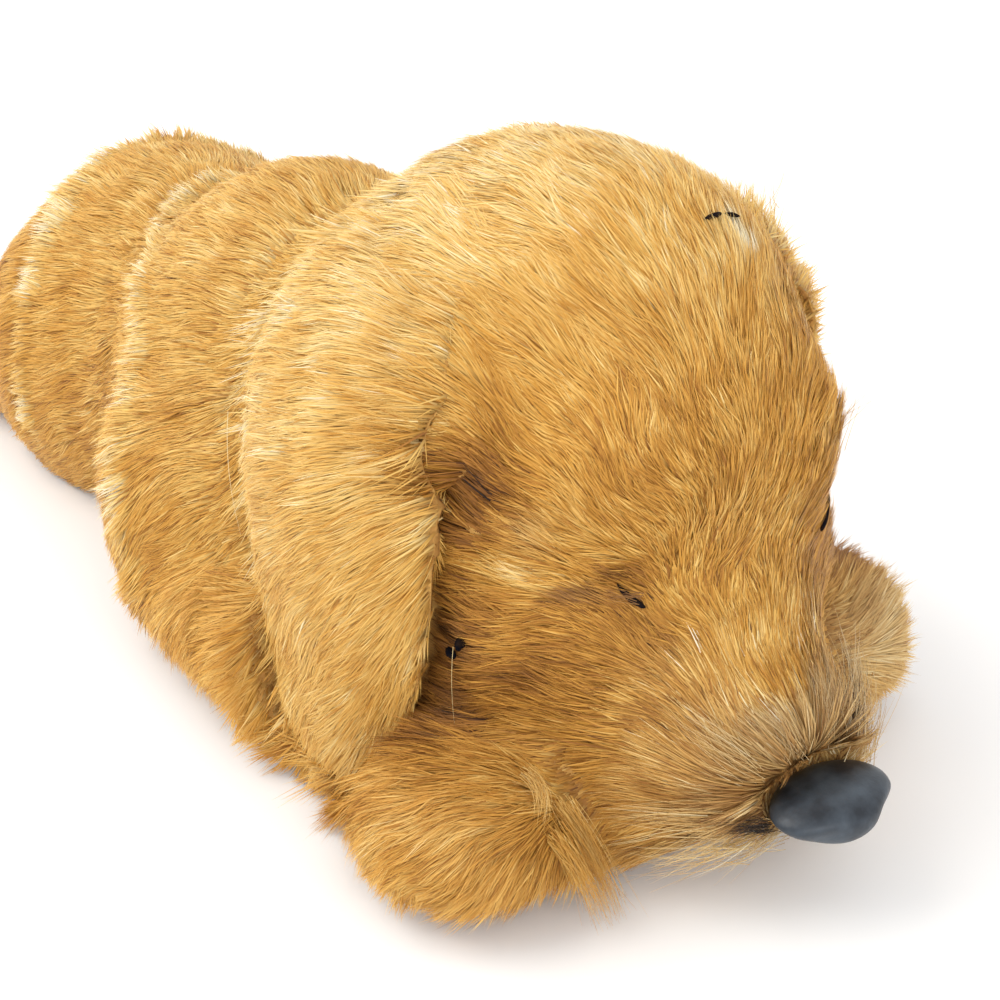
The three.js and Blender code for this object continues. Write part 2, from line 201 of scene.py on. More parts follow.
class Nodes:
    """A small helper that lays out the nodes of one material."""

    def __init__(self, name: str) -> None:
        """Starts a material that holds a Principled shader and its output."""
        self.material = bpy.data.materials.new(name)
        self.material.use_nodes = True
        self.tree = self.material.node_tree
        self.shader = self.tree.nodes["Principled BSDF"]

    def add(self, kind: str, **settings: object) -> bpy.types.Node:
        """Adds a node of a kind and sets its properties."""
        node = self.tree.nodes.new("ShaderNode" + kind)
        for key, value in settings.items():
            setattr(node, key, value)
        return node

    def link(self, source: bpy.types.NodeSocket, target: bpy.types.NodeSocket) -> None:
        """Joins an output to an input."""
        self.tree.links.new(source, target)

    def number(self, attribute: str) -> bpy.types.NodeSocket:
        """The output that reads a number stored on the mesh."""
        return self.add("Attribute", attribute_name=attribute).outputs["Fac"]

    def ramp(self, source: bpy.types.NodeSocket, stops: tuple) -> bpy.types.NodeSocket:
        """Turns a number into a colour.

        Args:
            source: the output that gives the number.
            stops: pairs of place and colour, from low to high.

        Returns:
            The colour output.
        """
        node = self.add("ValToRGB")
        elements = node.color_ramp.elements
        while len(elements) < len(stops):
            elements.new(1.0)
        for element, (place, colour) in zip(elements, stops):
            element.position = place
            element.color = (*colour, 1.0)
        self.link(source, node.inputs["Fac"])
        return node.outputs["Color"]

    def noise(self, scale: float, detail: float = 2.0) -> bpy.types.NodeSocket:
        """The output of a noise that reads Object coordinates."""
        node = self.add("TexNoise")
        node.inputs["Scale"].default_value = scale
        node.inputs["Detail"].default_value = detail
        self.link(self.add("TexCoord").outputs["Object"], node.inputs["Vector"])
        return node.outputs["Fac"]

    def mix(
        self, factor: bpy.types.NodeSocket, first: bpy.types.NodeSocket, second: bpy.types.NodeSocket
    ) -> bpy.types.NodeSocket:
        """Mixes two colours by a factor output."""
        node = self.add("Mix", data_type="RGBA")
        self.link(factor, node.inputs["Factor"])
        self.link(first, node.inputs["A"])
        self.link(second, node.inputs["B"])
        return node.outputs["Result"]

    def product(self, first: bpy.types.NodeSocket, second: bpy.types.NodeSocket) -> bpy.types.NodeSocket:
        """Multiplies two colours."""
        node = self.add("Mix", data_type="RGBA", blend_type="MULTIPLY")
        node.inputs["Factor"].default_value = 1.0
        self.link(first, node.inputs["A"])
        self.link(second, node.inputs["B"])
        return node.outputs["Result"]

    def paint(self, colour: bpy.types.NodeSocket) -> None:
        """Gives the shader its base colour."""
        self.link(colour, self.shader.inputs["Base Color"])

    def bump(self, height: bpy.types.NodeSocket, strength: float, distance: float) -> None:
        """Raises the surface's shading by a height output, over a distance in metres."""
        node = self.add("Bump")
        node.inputs["Strength"].default_value = strength
        node.inputs["Distance"].default_value = distance
        self.link(height, node.inputs["Height"])
        self.link(node.outputs["Normal"], self.shader.inputs["Normal"])

    def set(self, **values: object) -> None:
        """Sets plain values on the shader's own sockets, with underscores for spaces."""
        for key, value in values.items():
            self.shader.inputs[key.replace("_", " ")].default_value = value


@dataclass(frozen=True)
class Finish:
    """What a material is like: its name, how rough and glossy it is, and, in each kind, its colour."""

    name: str
    roughness: float
    gloss: float

    def make(self) -> bpy.types.Material:
        """Makes the material."""
        nodes = Nodes(self.name)
        nodes.set(Roughness=self.roughness, Specular_IOR_Level=self.gloss)
        self.lay_out(nodes)
        return nodes.material

    def lay_out(self, nodes: Nodes) -> None:
        """Adds the nodes of this kind of finish."""
        raise NotImplementedError


@dataclass(frozen=True)
class FurFinish(Finish):
    """Fur: each hair's tone picks a colour from dark brown to cream, greyer by its grey number."""

    name: str = "golden_fur"
    roughness: float = 0.48
    gloss: float = 0.2
    golden: tuple = (
        (0.00, (0.030, 0.014, 0.007)),
        (0.15, (0.160, 0.060, 0.014)),
        (0.35, (0.420, 0.175, 0.030)),
        (0.55, (0.690, 0.345, 0.058)),
        (0.75, (0.860, 0.560, 0.165)),
        (0.90, (0.940, 0.745, 0.350)),
        (1.00, (0.960, 0.860, 0.620)),
    )
    ashen: tuple = (
        (0.00, (0.020, 0.017, 0.016)),
        (0.20, (0.075, 0.058, 0.045)),
        (0.45, (0.260, 0.190, 0.125)),
        (0.70, (0.560, 0.430, 0.260)),
        (1.00, (0.900, 0.820, 0.640)),
    )
    # Painted shade deep in the coat: the colour is multiplied down towards each hair's root.
    along: tuple = (
        (0.00, (0.42, 0.36, 0.31)),
        (0.40, (0.86, 0.84, 0.81)),
        (1.00, (1.00, 1.00, 1.00)),
    )

    def lay_out(self, nodes: Nodes) -> None:
        """Reads each hair's tone and grey, and darkens it towards its root as painted shade deep in the
        coat.
        """
        tone = nodes.number("tone")
        colour = nodes.mix(
            nodes.number("grey"), nodes.ramp(tone, self.golden), nodes.ramp(tone, self.ashen)
        )
        nodes.paint(nodes.product(colour, nodes.ramp(nodes.number("along"), self.along)))


@dataclass(frozen=True)
class HideFinish(Finish):
    """The hide under the fur: matted underfur in brown and gold patches with a fine nap."""

    name: str = "hide"
    roughness: float = 0.9
    gloss: float = 0.2
    patches: tuple = ((0.3, (0.300, 0.135, 0.035)), (0.7, (0.600, 0.330, 0.090)))
    patch_scale: float = 260.0
    patch_detail: float = 6.0
    nap_scale: float = 1500.0
    nap_detail: float = 3.0
    nap_strength: float = 0.6
    nap_depth: float = 0.3

    def lay_out(self, nodes: Nodes) -> None:
        """Lays patches and nap on Object coordinates."""
        nodes.paint(nodes.ramp(nodes.noise(self.patch_scale, self.patch_detail), self.patches))
        nap = nodes.noise(self.nap_scale, self.nap_detail)
        nodes.bump(nap, self.nap_strength, self.nap_depth * MM)


@dataclass(frozen=True)
class NoseFinish(Finish):
    """The nose: satin blue-black plastic with a faint grain and paler scuffs on top."""

    name: str = "nose_plastic"
    roughness: float = 0.42
    gloss: float = 0.5
    scuffs: tuple = ((0.35, (0.007, 0.011, 0.018)), (0.75, (0.062, 0.082, 0.106)))
    scuff_scale: float = 300.0
    scuff_detail: float = 5.0
    grain_scale: float = 2600.0
    grain_strength: float = 0.25
    grain_depth: float = 0.1

    def lay_out(self, nodes: Nodes) -> None:
        """Lays scuffs and grain on Object coordinates."""
        nodes.paint(nodes.ramp(nodes.noise(self.scuff_scale, self.scuff_detail), self.scuffs))
        nodes.bump(nodes.noise(self.grain_scale), self.grain_strength, self.grain_depth * MM)


@dataclass(frozen=True)
class DarkFinish(Finish):
    """The inside of slits, and the painted shade deep in holes: near black, with a dull blue and brown
    mottle.
    """

    name: str = "dark_slit"
    roughness: float = 0.9
    gloss: float = 0.05
    mottle: tuple = ((0.4, (0.004, 0.004, 0.007)), (0.7, (0.022, 0.012, 0.007)))
    mottle_scale: float = 1400.0

    def lay_out(self, nodes: Nodes) -> None:
        """Lays the mottle on Object coordinates."""
        nodes.paint(nodes.ramp(nodes.noise(self.mottle_scale), self.mottle))


@dataclass(frozen=True)
class FloorFinish(Finish):
    """A plain matt white floor."""

    name: str = "white_floor"
    roughness: float = 0.7
    gloss: float = 0.5
    white: float = 0.93

    def lay_out(self, nodes: Nodes) -> None:
        """Sets one plain colour."""
        nodes.set(Base_Color=(self.white, self.white, self.white, 1.0))


@dataclass(frozen=True)
class Stroke:
    """One stroke of the brush: how the fur lies, and what it is like, round one place.

    The place is (out, back, up) in millimetres and the flow has the same three ways. The depth is how
    far the skin lies under the solid's surface, to leave room for the fur.
    """

    name: str
    place: tuple[float, float, float]
    flow: tuple[float, float, float]
    length: float
    tone: float
    reach: float
    lift: float = 8.0
    grey: float = 0.0
    depth: float = 1.5


@dataclass(frozen=True)
class Spot:
    """A place and how far it reaches in each way, in millimetres, as (out, back, up)."""

    name: str
    place: tuple[float, float, float]
    radius: tuple[float, float, float]

    def share(self, places: np.ndarray) -> np.ndarray:
        """How much each place belongs to the spot: e to the minus square of its distance in radii."""
        return np.exp(-(((places - self.place) / self.radius) ** 2).sum(1))


@dataclass(frozen=True)
class Patch(Spot):
    """A small change round one place, on one side or both: a shift of tone, grey and length, for markings
    of the fur and for painted shade and highlights.
    """

    tone: float = 0.0
    grey: float = 0.0
    shorten: float = 0.0
    side: Side | None = None


def share_of(spots: tuple[Spot, ...], points: np.ndarray) -> np.ndarray:
    """The largest share that any of the spots has in each point, with points in millimetres."""
    places = puppy_places(points)
    return np.max([spot.share(places) for spot in spots], axis=0)


@dataclass(frozen=True)
class Fold:
    """A fold of the hide: a raised rim of standing hair painted pale as a highlight, with painted shade in
    the crease just behind it.

    The path runs through places of (out, back, up), from the spine down to the floor.
    """

    name: str
    path: tuple[tuple[float, float, float], ...]
    rim: float = 2.3
    # The rim's tone is a painted highlight, and the crease a painted shade.
    tone: float = 0.42
    crease: float = 0.18
    lift: float = 14.0
    swell: float = 1.0
    turn: tuple[float, float] = (-0.5, 0.8)

    def read(self, places: np.ndarray, flow: np.ndarray) -> tuple[np.ndarray, np.ndarray]:
        """How much each place belongs to the rim and to the crease.

        The distance is to the nearest point of the path. A place that the flow carries away from the
        path lies behind it, in the crease, and any other lies in front, on the rim.

        Args:
            places: places as (out, back, up).
            flow: how the fur lies there, in the same three ways.

        Returns:
            The share of rim and the share of crease at each place, from nought to one.
        """
        start = np.array(self.path[:-1])
        run = np.diff(np.array(self.path), axis=0)
        along = np.clip(((places[:, None] - start) * run).sum(2) / (run**2).sum(1), 0, 1)
        away = places[:, None] - start - along[..., None] * run
        distance = np.linalg.norm(away, axis=2)
        nearest = distance.argmin(1)
        rows = np.arange(len(places))
        near = distance[rows, nearest]
        behind = (away[rows, nearest] * flow).sum(1)
        fade = np.exp(-((near / self.rim) ** 2))
        turn = step_between(behind, *self.turn)
        return fade * (1 - turn), fade * turn


@dataclass
class Lay:
    """How the fur lies at a set of places."""

    flow: np.ndarray
    length: np.ndarray
    tone: np.ndarray
    lift: np.ndarray
    grey: np.ndarray
    depth: np.ndarray


@dataclass
class Comb:
    """A set of strokes, patches and folds that together say how the fur lies at any place."""

    strokes: tuple[Stroke, ...]
    patches: tuple[Patch, ...] = ()
    folds: tuple[Fold, ...] = ()
    far_weight: float = 1e-6
    parting: float = 2.0
    # How strongly and how patchily the folds' painted rim highlights show.
    rim_strength: tuple[float, float] = (0.9, 0.25)
    rim_wave: float = 11.0

    def read(self, points: np.ndarray) -> Lay:
        """Blends the strokes near each point.

        Each stroke weighs e to the minus square of its distance over its reach, and the weights are
        scaled to add up to one. The outward part of a flow fades at the middle of the dog, so that
        the two sides meet without a jump. Each patch then adds its shift, which fades as an egg shape,
        and each fold adds its rim, painted paler as a highlight, and its crease, painted darker as shade.

        Args:
            points: places in millimetres, one a row.

        Returns:
            The lay of the fur at each point.
        """
        places = puppy_places(points)
        centres = np.array([s.place for s in self.strokes])
        reach = np.array([s.reach for s in self.strokes])
        squares = (places**2).sum(1)[:, None] + (centres**2).sum(1) - 2 * places @ centres.T
        away = np.sqrt(np.maximum(squares, 0)) / reach
        weight = np.exp(-(away**2)) + self.far_weight / (1 + away**4)
        weight /= weight.sum(1, keepdims=True)
        flow = unit(weight @ np.array([s.flow for s in self.strokes]))
        offset = points[:, 0] - MIDDLE_X
        length, tone, lift, grey, depth = (
            weight @ np.array([getattr(s, key) for s in self.strokes])
            for key in ("length", "tone", "lift", "grey", "depth")
        )
        for patch in self.patches:
            share = patch.share(places)
            if patch.side is not None:
                share *= offset * patch.side.value > 0
            tone = tone + patch.tone * share
            grey = grey + patch.grey * share
            length = length * (1 - patch.shorten * share)
        mean, swing = self.rim_strength
        # Each fold paints a highlight on its rim and shade in its crease.
        for fold in self.folds:
            rim, crease = fold.read(places, flow)
            patchy = mean + swing * ripple(points, self.rim_wave, SEED + Draw.FOLD_RIMS)
            tone = tone + fold.tone * rim * patchy - fold.crease * crease
            lift = lift + fold.lift * rim
            depth = depth - fold.swell * (rim - crease)
        flow[:, 0] *= offset / (np.abs(offset) + self.parting)
        return Lay(flow, length, tone, lift, np.clip(grey, 0, 1), depth)


@dataclass
class Skin:
    """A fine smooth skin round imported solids, a little inside them, on which a coat can grow."""

    solids: tuple[str, ...]
    voxel: float = 1.1
    smoothing: int = 8
    margin: float = 3.0
    far: float = 99.0
    piece: bpy.types.Object = field(init=False)
    points: np.ndarray = field(init=False)
    normals: np.ndarray = field(init=False)
    corners: np.ndarray = field(init=False)

    def build(self, name: str, material: bpy.types.Material) -> bpy.types.Object:
        """Makes the skin from a merged copy of the solids, remeshed in small even faces and smoothed.

        Args:
            name: the name of the new piece.
            material: what shows between the hairs.

        Returns:
            The skin.
        """
        work = bpy.data.objects.new(name + "_work", bpy.data.meshes.new(name + "_work"))
        into_scene(work)
        merged = bmesh.new()
        for solid in self.solids:
            merged.from_mesh(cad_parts[solid].data)
        bmesh.ops.remove_doubles(merged, verts=merged.verts, dist=0.002 * MM)
        merged.to_mesh(work.data)
        merged.free()
        remesh = work.modifiers.new("even faces", "REMESH")
        remesh.mode = "VOXEL"
        remesh.voxel_size = self.voxel * MM
        remesh.use_smooth_shade = True
        smooth = work.modifiers.new("smooth", "SMOOTH")
        smooth.factor = 0.5
        smooth.iterations = self.smoothing
        bpy.context.view_layer.update()
        mesh = bpy.data.meshes.new_from_object(work.evaluated_get(bpy.context.evaluated_depsgraph_get()))
        bpy.data.objects.remove(work)
        mesh.name = name
        mesh.materials.clear()
        mesh.materials.append(material)
        self.piece = bpy.data.objects.new(name, mesh)
        into_scene(self.piece)
        self._read()
        return self.piece

    def _read(self) -> None:
        """Takes the points, normals and triangles of the mesh into arrays, in millimetres."""
        mesh = self.piece.data
        count = len(mesh.vertices)
        points = np.empty(count * 3, np.float32)
        mesh.vertices.foreach_get("co", points)
        normals = np.empty(count * 3, np.float32)
        mesh.vertex_normals.foreach_get("vector", normals)
        mesh.calc_loop_triangles()
        corners = np.empty(len(mesh.loop_triangles) * 3, np.int32)
        mesh.loop_triangles.foreach_get("vertices", corners)
        self.points = points.reshape(-1, 3).astype(float) / MM
        self.normals = normals.reshape(-1, 3).astype(float)
        self.corners = corners.reshape(-1, 3)

    def _write(self) -> None:
        """Puts the points back into the mesh, none of them below the floor, and takes new normals."""
        self.points[:, 2] = np.maximum(self.points[:, 2], 0.0)
        self.piece.data.vertices.foreach_set("co", (self.points * MM).astype(np.float32).ravel())
        self.piece.data.update()
        self._read()

    def sink(self, depth: np.ndarray | float) -> None:
        """Draws the skin inwards along its normals by a depth in millimetres."""
        self.points = self.points - self.normals * np.reshape(depth, (-1, 1))
        self._write()

    def relax(self, share: np.ndarray, rounds: int) -> None:
        """Melts steps away: each round moves a point by its share to half-way to its neighbours' mean.

        Args:
            share: how freely each point moves, from nought to one.
            rounds: how often.
        """
        mesh = self.piece.data
        pairs = np.empty(len(mesh.edges) * 2, np.int32)
        mesh.edges.foreach_get("vertices", pairs)
        here = np.concatenate([pairs[0::2], pairs[1::2]])
        there = np.concatenate([pairs[1::2], pairs[0::2]])
        size = len(self.points)
        degree = np.maximum(np.bincount(here, minlength=size), 1)
        for _ in range(rounds):
            for axis in range(3):
                column = self.points[:, axis]
                mean = np.bincount(here, column[there], size) / degree
                self.points[:, axis] = column + 0.5 * share * (mean - column)
        self._write()

    def distance_from(self, points: np.ndarray) -> np.ndarray:
        """The distance from each point to the nearest point of the skin, or far where outside its box.

        Args:
            points: places in millimetres, one a row.

        Returns:
            The distances in millimetres.
        """
        low, high = self.points.min(0) - self.margin, self.points.max(0) + self.margin
        near = ((points > low) & (points < high)).all(1)
        inner = points[near]
        squares = (inner**2).sum(1)[:, None] + (self.points**2).sum(1) - 2 * inner @ self.points.T
        distance = np.full(len(points), self.far)
        distance[near] = np.sqrt(np.maximum(squares.min(1), 0))
        return distance

    def nearest(self, points: np.ndarray) -> np.ndarray:
        """The number of the skin's point that lies nearest to each given place."""
        return np.array([((self.points - point) ** 2).sum(1).argmin() for point in points])

    def scatter(
        self, count: int, density: np.ndarray, rng: np.random.Generator
    ) -> tuple[np.ndarray, np.ndarray]:
        """Picks even random places on the skin.

        A triangle is picked by its area times the density at its middle, and the place in it by two
        random numbers, folded back where their sum is over one.

        Args:
            count: how many places.
            density: the density at each triangle, nought where nothing grows.
            rng: the random numbers.

        Returns:
            The places and the skin's normals there.
        """
        a, b, c = (self.points[self.corners[:, k]] for k in range(3))
        area = np.linalg.norm(np.cross(b - a, c - a), axis=1)
        chance = area * density
        picked = rng.choice(len(area), count, p=chance / chance.sum())
        u, v = rng.random((2, count, 1))
        over = u + v > 1
        u, v = np.where(over, 1 - u, u), np.where(over, 1 - v, v)
        w = 1 - u - v
        place = a[picked] * w + b[picked] * u + c[picked] * v
        na, nb, nc = (self.normals[self.corners[picked, k]] for k in range(3))
        return place, unit(na * w + nb * u + nc * v)

    def middles(self) -> tuple[np.ndarray, np.ndarray]:
        """The middle and the mean normal of each triangle."""
        place = self.points[self.corners].mean(1)
        return place, unit(self.normals[self.corners].mean(1))


@dataclass
class Hairs:
    """Hairs of one kind: the points of each ribbon, how they join, and where they lie on a map cell."""

    points: np.ndarray
    normals: np.ndarray
    tone: np.ndarray
    grey: np.ndarray
    along: tuple[float, ...]
    corners: tuple[tuple[int, int, int], ...]
    cell: tuple[tuple[float, float], ...]


@dataclass(frozen=True)
class HairSize:
    """The width of a sort of hair in millimetres, and the ranges of each hair's own random shares."""

    width: float
    widths: tuple[float, float]
    lengths: tuple[float, float]
    lifts: tuple[float, float]


@dataclass
class Coat:
    """A coat grown on part of a skin: dense straight underfur, and longer hairs in small clumps.

    An underfur hair is one slim triangle. A clump's hair is a ribbon of three triangles that rises from
    the skin at the lift angle, bends over and ends in a point, and the hairs of a clump lean towards
    one another at their tips. Spread and waves are in millimetres, and angles in degrees. The fall
    holds its mean and its spread, each pair of waves a long and a short one, and laid the two ends of
    a step.
    """

    name: str
    comb: Comb
    clumps: int
    underfur: int
    per_clump: int = 7
    long: HairSize = HairSize(0.16, (0.7, 1.25), (0.7, 1.15), (0.6, 1.6))
    under: HairSize = HairSize(0.25, (0.6, 1.3), (0.5, 0.95), (0.3, 1.3))
    spread: float = 0.55
    gather: float = 0.45
    sway: float = 7.0
    jitter: float = 5.0
    roll: float = 22.0
    tone_patch: float = 0.035
    tone_clump: float = 0.05
    tone_hair: float = 0.05
    # A share of the hairs is a step darker: painted shade, for the shadows between clumps of hair.
    clump_shade_share: float = 0.10
    clump_shade_step: float = 0.20
    bend: float = 0.45
    lean: float = 0.05
    slimming: float = 0.85
    bulge: float = 0.35
    fall: tuple[float, float] = (-1.0, 2.5)
    fall_with_lift: float = 0.3
    gather_middle: float = 0.4
    ribbon_facing: float = 0.6
    skin_facing: float = 0.5
    fine_sway: float = 0.7
    sway_waves: tuple[float, float] = (9.0, 3.2)
    tone_waves: tuple[float, float] = (7.0, 2.0)
    length_wave: float = 6.0
    length_swing: float = 0.1
    laid: tuple[float, float] = (0.1, 0.7)
    stubble: float = 0.45
    under_darker: float = 0.02

    def grow(
        self, skin: Skin, density: np.ndarray, seed: int, material: bpy.types.Material
    ) -> bpy.types.Object:
        """Grows the coat and makes it one mesh.

        Args:
            skin: where the hairs root.
            density: the density of hairs at each triangle of the skin.
            seed: which random numbers to take.
            material: the fur material.

        Returns:
            The coat.
        """
        rng = np.random.default_rng(SEED + seed)
        kinds = (self._underfur(skin, density, rng), self._clumps(skin, density, rng))
        points, faces, normals, tone, grey, along, at = [], [], [], [], [], [], []
        cells = self._cells(np.concatenate([kind.tone for kind in kinds]))
        first_point, first_cell = 0, 0
        for kind in kinds:
            count, size = kind.points.shape[:2]
            numbers = first_point + np.arange(count)[:, None, None] * size + np.array(kind.corners)
            points.append(kind.points.reshape(-1, 3))
            faces.append(numbers.reshape(-1, 3))
            normals.append(np.repeat(kind.normals, size, axis=0))
            tone.append(np.repeat(kind.tone, size))
            grey.append(np.repeat(kind.grey, size))
            along.append(np.tile(kind.along, count))
            corner = cells[first_cell : first_cell + count, None] + np.array(kind.cell)
            at.append(corner.reshape(-1, 2) / math.ceil(math.sqrt(len(cells))))
            first_point += count * size
            first_cell += count
        faces = np.concatenate(faces)
        piece = new_mesh(self.name, np.concatenate(points), faces, np.concatenate(normals))
        add_number(piece.data, "tone", np.concatenate(tone))
        add_number(piece.data, "grey", np.concatenate(grey))
        add_number(piece.data, "along", np.concatenate(along))
        layer = piece.data.uv_layers.new(name="OFBake")
        layer.uv.foreach_set("vector", np.concatenate(at)[faces.ravel()].astype(np.float32).ravel())
        piece.data.materials.append(material)
        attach(piece, "root")
        return piece

    def _cells(self, tone: np.ndarray) -> np.ndarray:
        """Gives each hair a cell of its own on the map, in rows from dark to pale, turned at each end.

        Args:
            tone: each hair's tone.

        Returns:
            The column and row of each hair's cell.
        """
        side = math.ceil(math.sqrt(len(tone)))
        rank = np.empty(len(tone), int)
        rank[np.argsort(tone, kind="stable")] = np.arange(len(tone))
        row, column = np.divmod(rank, side)
        return np.stack([np.where(row % 2, side - 1 - column, column), row], axis=1)

    def _lie(
        self, place: np.ndarray, normal: np.ndarray, rng: np.random.Generator
    ) -> tuple[Lay, np.ndarray, np.ndarray]:
        """The lay at each place, with its flow laid on the skin and swayed a little.

        Where the comb points straight into or out of the skin, the hair is shorter.

        Args:
            place: where the hairs root.
            normal: the skin's normals there.
            rng: the random numbers.

        Returns:
            The lay, the flow along the skin and the way across it.
        """
        lay = self.comb.read(place)
        flat = lay.flow - normal * (lay.flow * normal).sum(1, keepdims=True)
        laid = step_between(np.linalg.norm(flat, axis=1), *self.laid)
        lay.length = lay.length * (self.stubble + (1 - self.stubble) * laid)
        flow = unit(flat)
        across = np.cross(normal, flow)
        swing = np.radians(
            self.sway * ripple(place, self.sway_waves[0], SEED + Draw.SWAY)
            + self.fine_sway * self.sway * ripple(place, self.sway_waves[1], SEED + Draw.FINE_SWAY)
            + rng.normal(0, self.jitter, len(place))
        )[:, None]
        flow = flow * np.cos(swing) + across * np.sin(swing)
        lay.tone = (
            lay.tone
            + self.tone_patch * ripple(place, self.tone_waves[0], SEED + Draw.TONE)
            + self.tone_patch * ripple(place, self.tone_waves[1], SEED + Draw.FINE_TONE)
        )
        lay.length = lay.length * (
            1 + self.length_swing * ripple(place, self.length_wave, SEED + Draw.LENGTH)
        )
        return lay, flow, np.cross(normal, flow)

    def _hair_tone(self, tone: np.ndarray, rng: np.random.Generator) -> np.ndarray:
        """Each hair's own tone: a small random shift, and a step darker for some, as painted shade between
        clumps.
        """
        dark = rng.random(len(tone)) < self.clump_shade_share
        return np.clip(tone + rng.normal(0, self.tone_hair, len(tone)) - self.clump_shade_step * dark, 0.0, 1.0)

    def _underfur(self, skin: Skin, density: np.ndarray, rng: np.random.Generator) -> Hairs:
        """Straight slim triangles all over, a little shorter than the long hairs.

        Args:
            skin: where the hairs root.
            density: the density of hairs at each triangle of the skin.
            rng: the random numbers.

        Returns:
            The hairs.
        """
        root, normal = skin.scatter(self.underfur, density, rng)
        lay, flow, across = self._lie(root, normal, rng)
        count = len(root)
        lift = np.radians(lay.lift * rng.uniform(*self.under.lifts, count))[:, None]
        way = flow * np.cos(lift) + normal * np.sin(lift)
        tip = root + way * (lay.length * rng.uniform(*self.under.lengths, count))[:, None]
        half = across * (0.5 * self.under.width * rng.uniform(*self.under.widths, count))[:, None]
        points = np.stack([root + half, root - half, tip], axis=1)
        points[..., 2] = np.maximum(points[..., 2], FLOOR_CLEARANCE)
        bulge = unit(normal + across * rng.normal(0, self.bulge, count)[:, None])
        tone = self._hair_tone(lay.tone - self.under_darker, rng)
        cell = ((0.1, 0.1), (0.9, 0.1), (0.5, 0.9))
        return Hairs(points, bulge, tone, lay.grey, (0.0, 0.0, 1.0), ((0, 1, 2),), cell)

    def _clumps(self, skin: Skin, density: np.ndarray, rng: np.random.Generator) -> Hairs:
        """Longer bent hairs in clumps.

        Args:
            skin: where the hairs root.
            density: the density of clumps at each triangle of the skin.
            rng: the random numbers.

        Returns:
            The hairs.
        """
        centre, normal = skin.scatter(self.clumps, density, rng)
        lay, flow, across = self._lie(centre, normal, rng)
        tone = lay.tone + rng.normal(0, self.tone_clump, self.clumps)
        each = np.repeat(np.arange(self.clumps), self.per_clump)
        count = len(each)
        normal, flow, across = normal[each], flow[each], across[each]
        turn = rng.uniform(0, 2 * math.pi, count)[:, None]
        radius = (self.spread * np.sqrt(rng.random(count)))[:, None]
        offset = (flow * np.cos(turn) + across * np.sin(turn)) * radius
        root = centre[each] + offset
        length = (lay.length[each] * rng.uniform(*self.long.lengths, count))[:, None]
        lift = np.radians(lay.lift[each] * rng.uniform(*self.long.lifts, count))[:, None]
        fall = np.radians(rng.normal(*self.fall, count))[:, None] + self.fall_with_lift * lift
        lean = rng.normal(0, self.lean, count)[:, None]
        first = flow * np.cos(lift) + normal * np.sin(lift) + across * lean
        second = flow * np.cos(fall) + normal * np.sin(fall) - across * lean
        middle = root + first * length * self.bend - offset * self.gather * self.gather_middle
        tip = middle + second * length * (1 - self.bend) - offset * self.gather * (1 - self.gather_middle)
        spin = np.radians(rng.normal(0, self.roll, count))[:, None]
        side = unit(across * np.cos(spin) + normal * np.sin(spin))
        half = side * (0.5 * self.long.width * rng.uniform(*self.long.widths, count))[:, None]
        slim = half * self.slimming
        points = np.stack([root + half, root - half, middle + slim, middle - slim, tip], axis=1)
        points[..., 2] = np.maximum(points[..., 2], FLOOR_CLEARANCE)
        face = unit(self.ribbon_facing * np.cross(second, side) + self.skin_facing * normal)
        corners = ((0, 1, 3), (0, 3, 2), (2, 3, 4))
        cell = ((0.1, 0.08), (0.9, 0.08), (0.1, 0.5), (0.9, 0.5), (0.5, 0.92))
        along = (0.0, 0.0, self.bend, self.bend, 1.0)
        return Hairs(points, face, self._hair_tone(tone[each], rng), lay.grey[each], along, corners, cell)


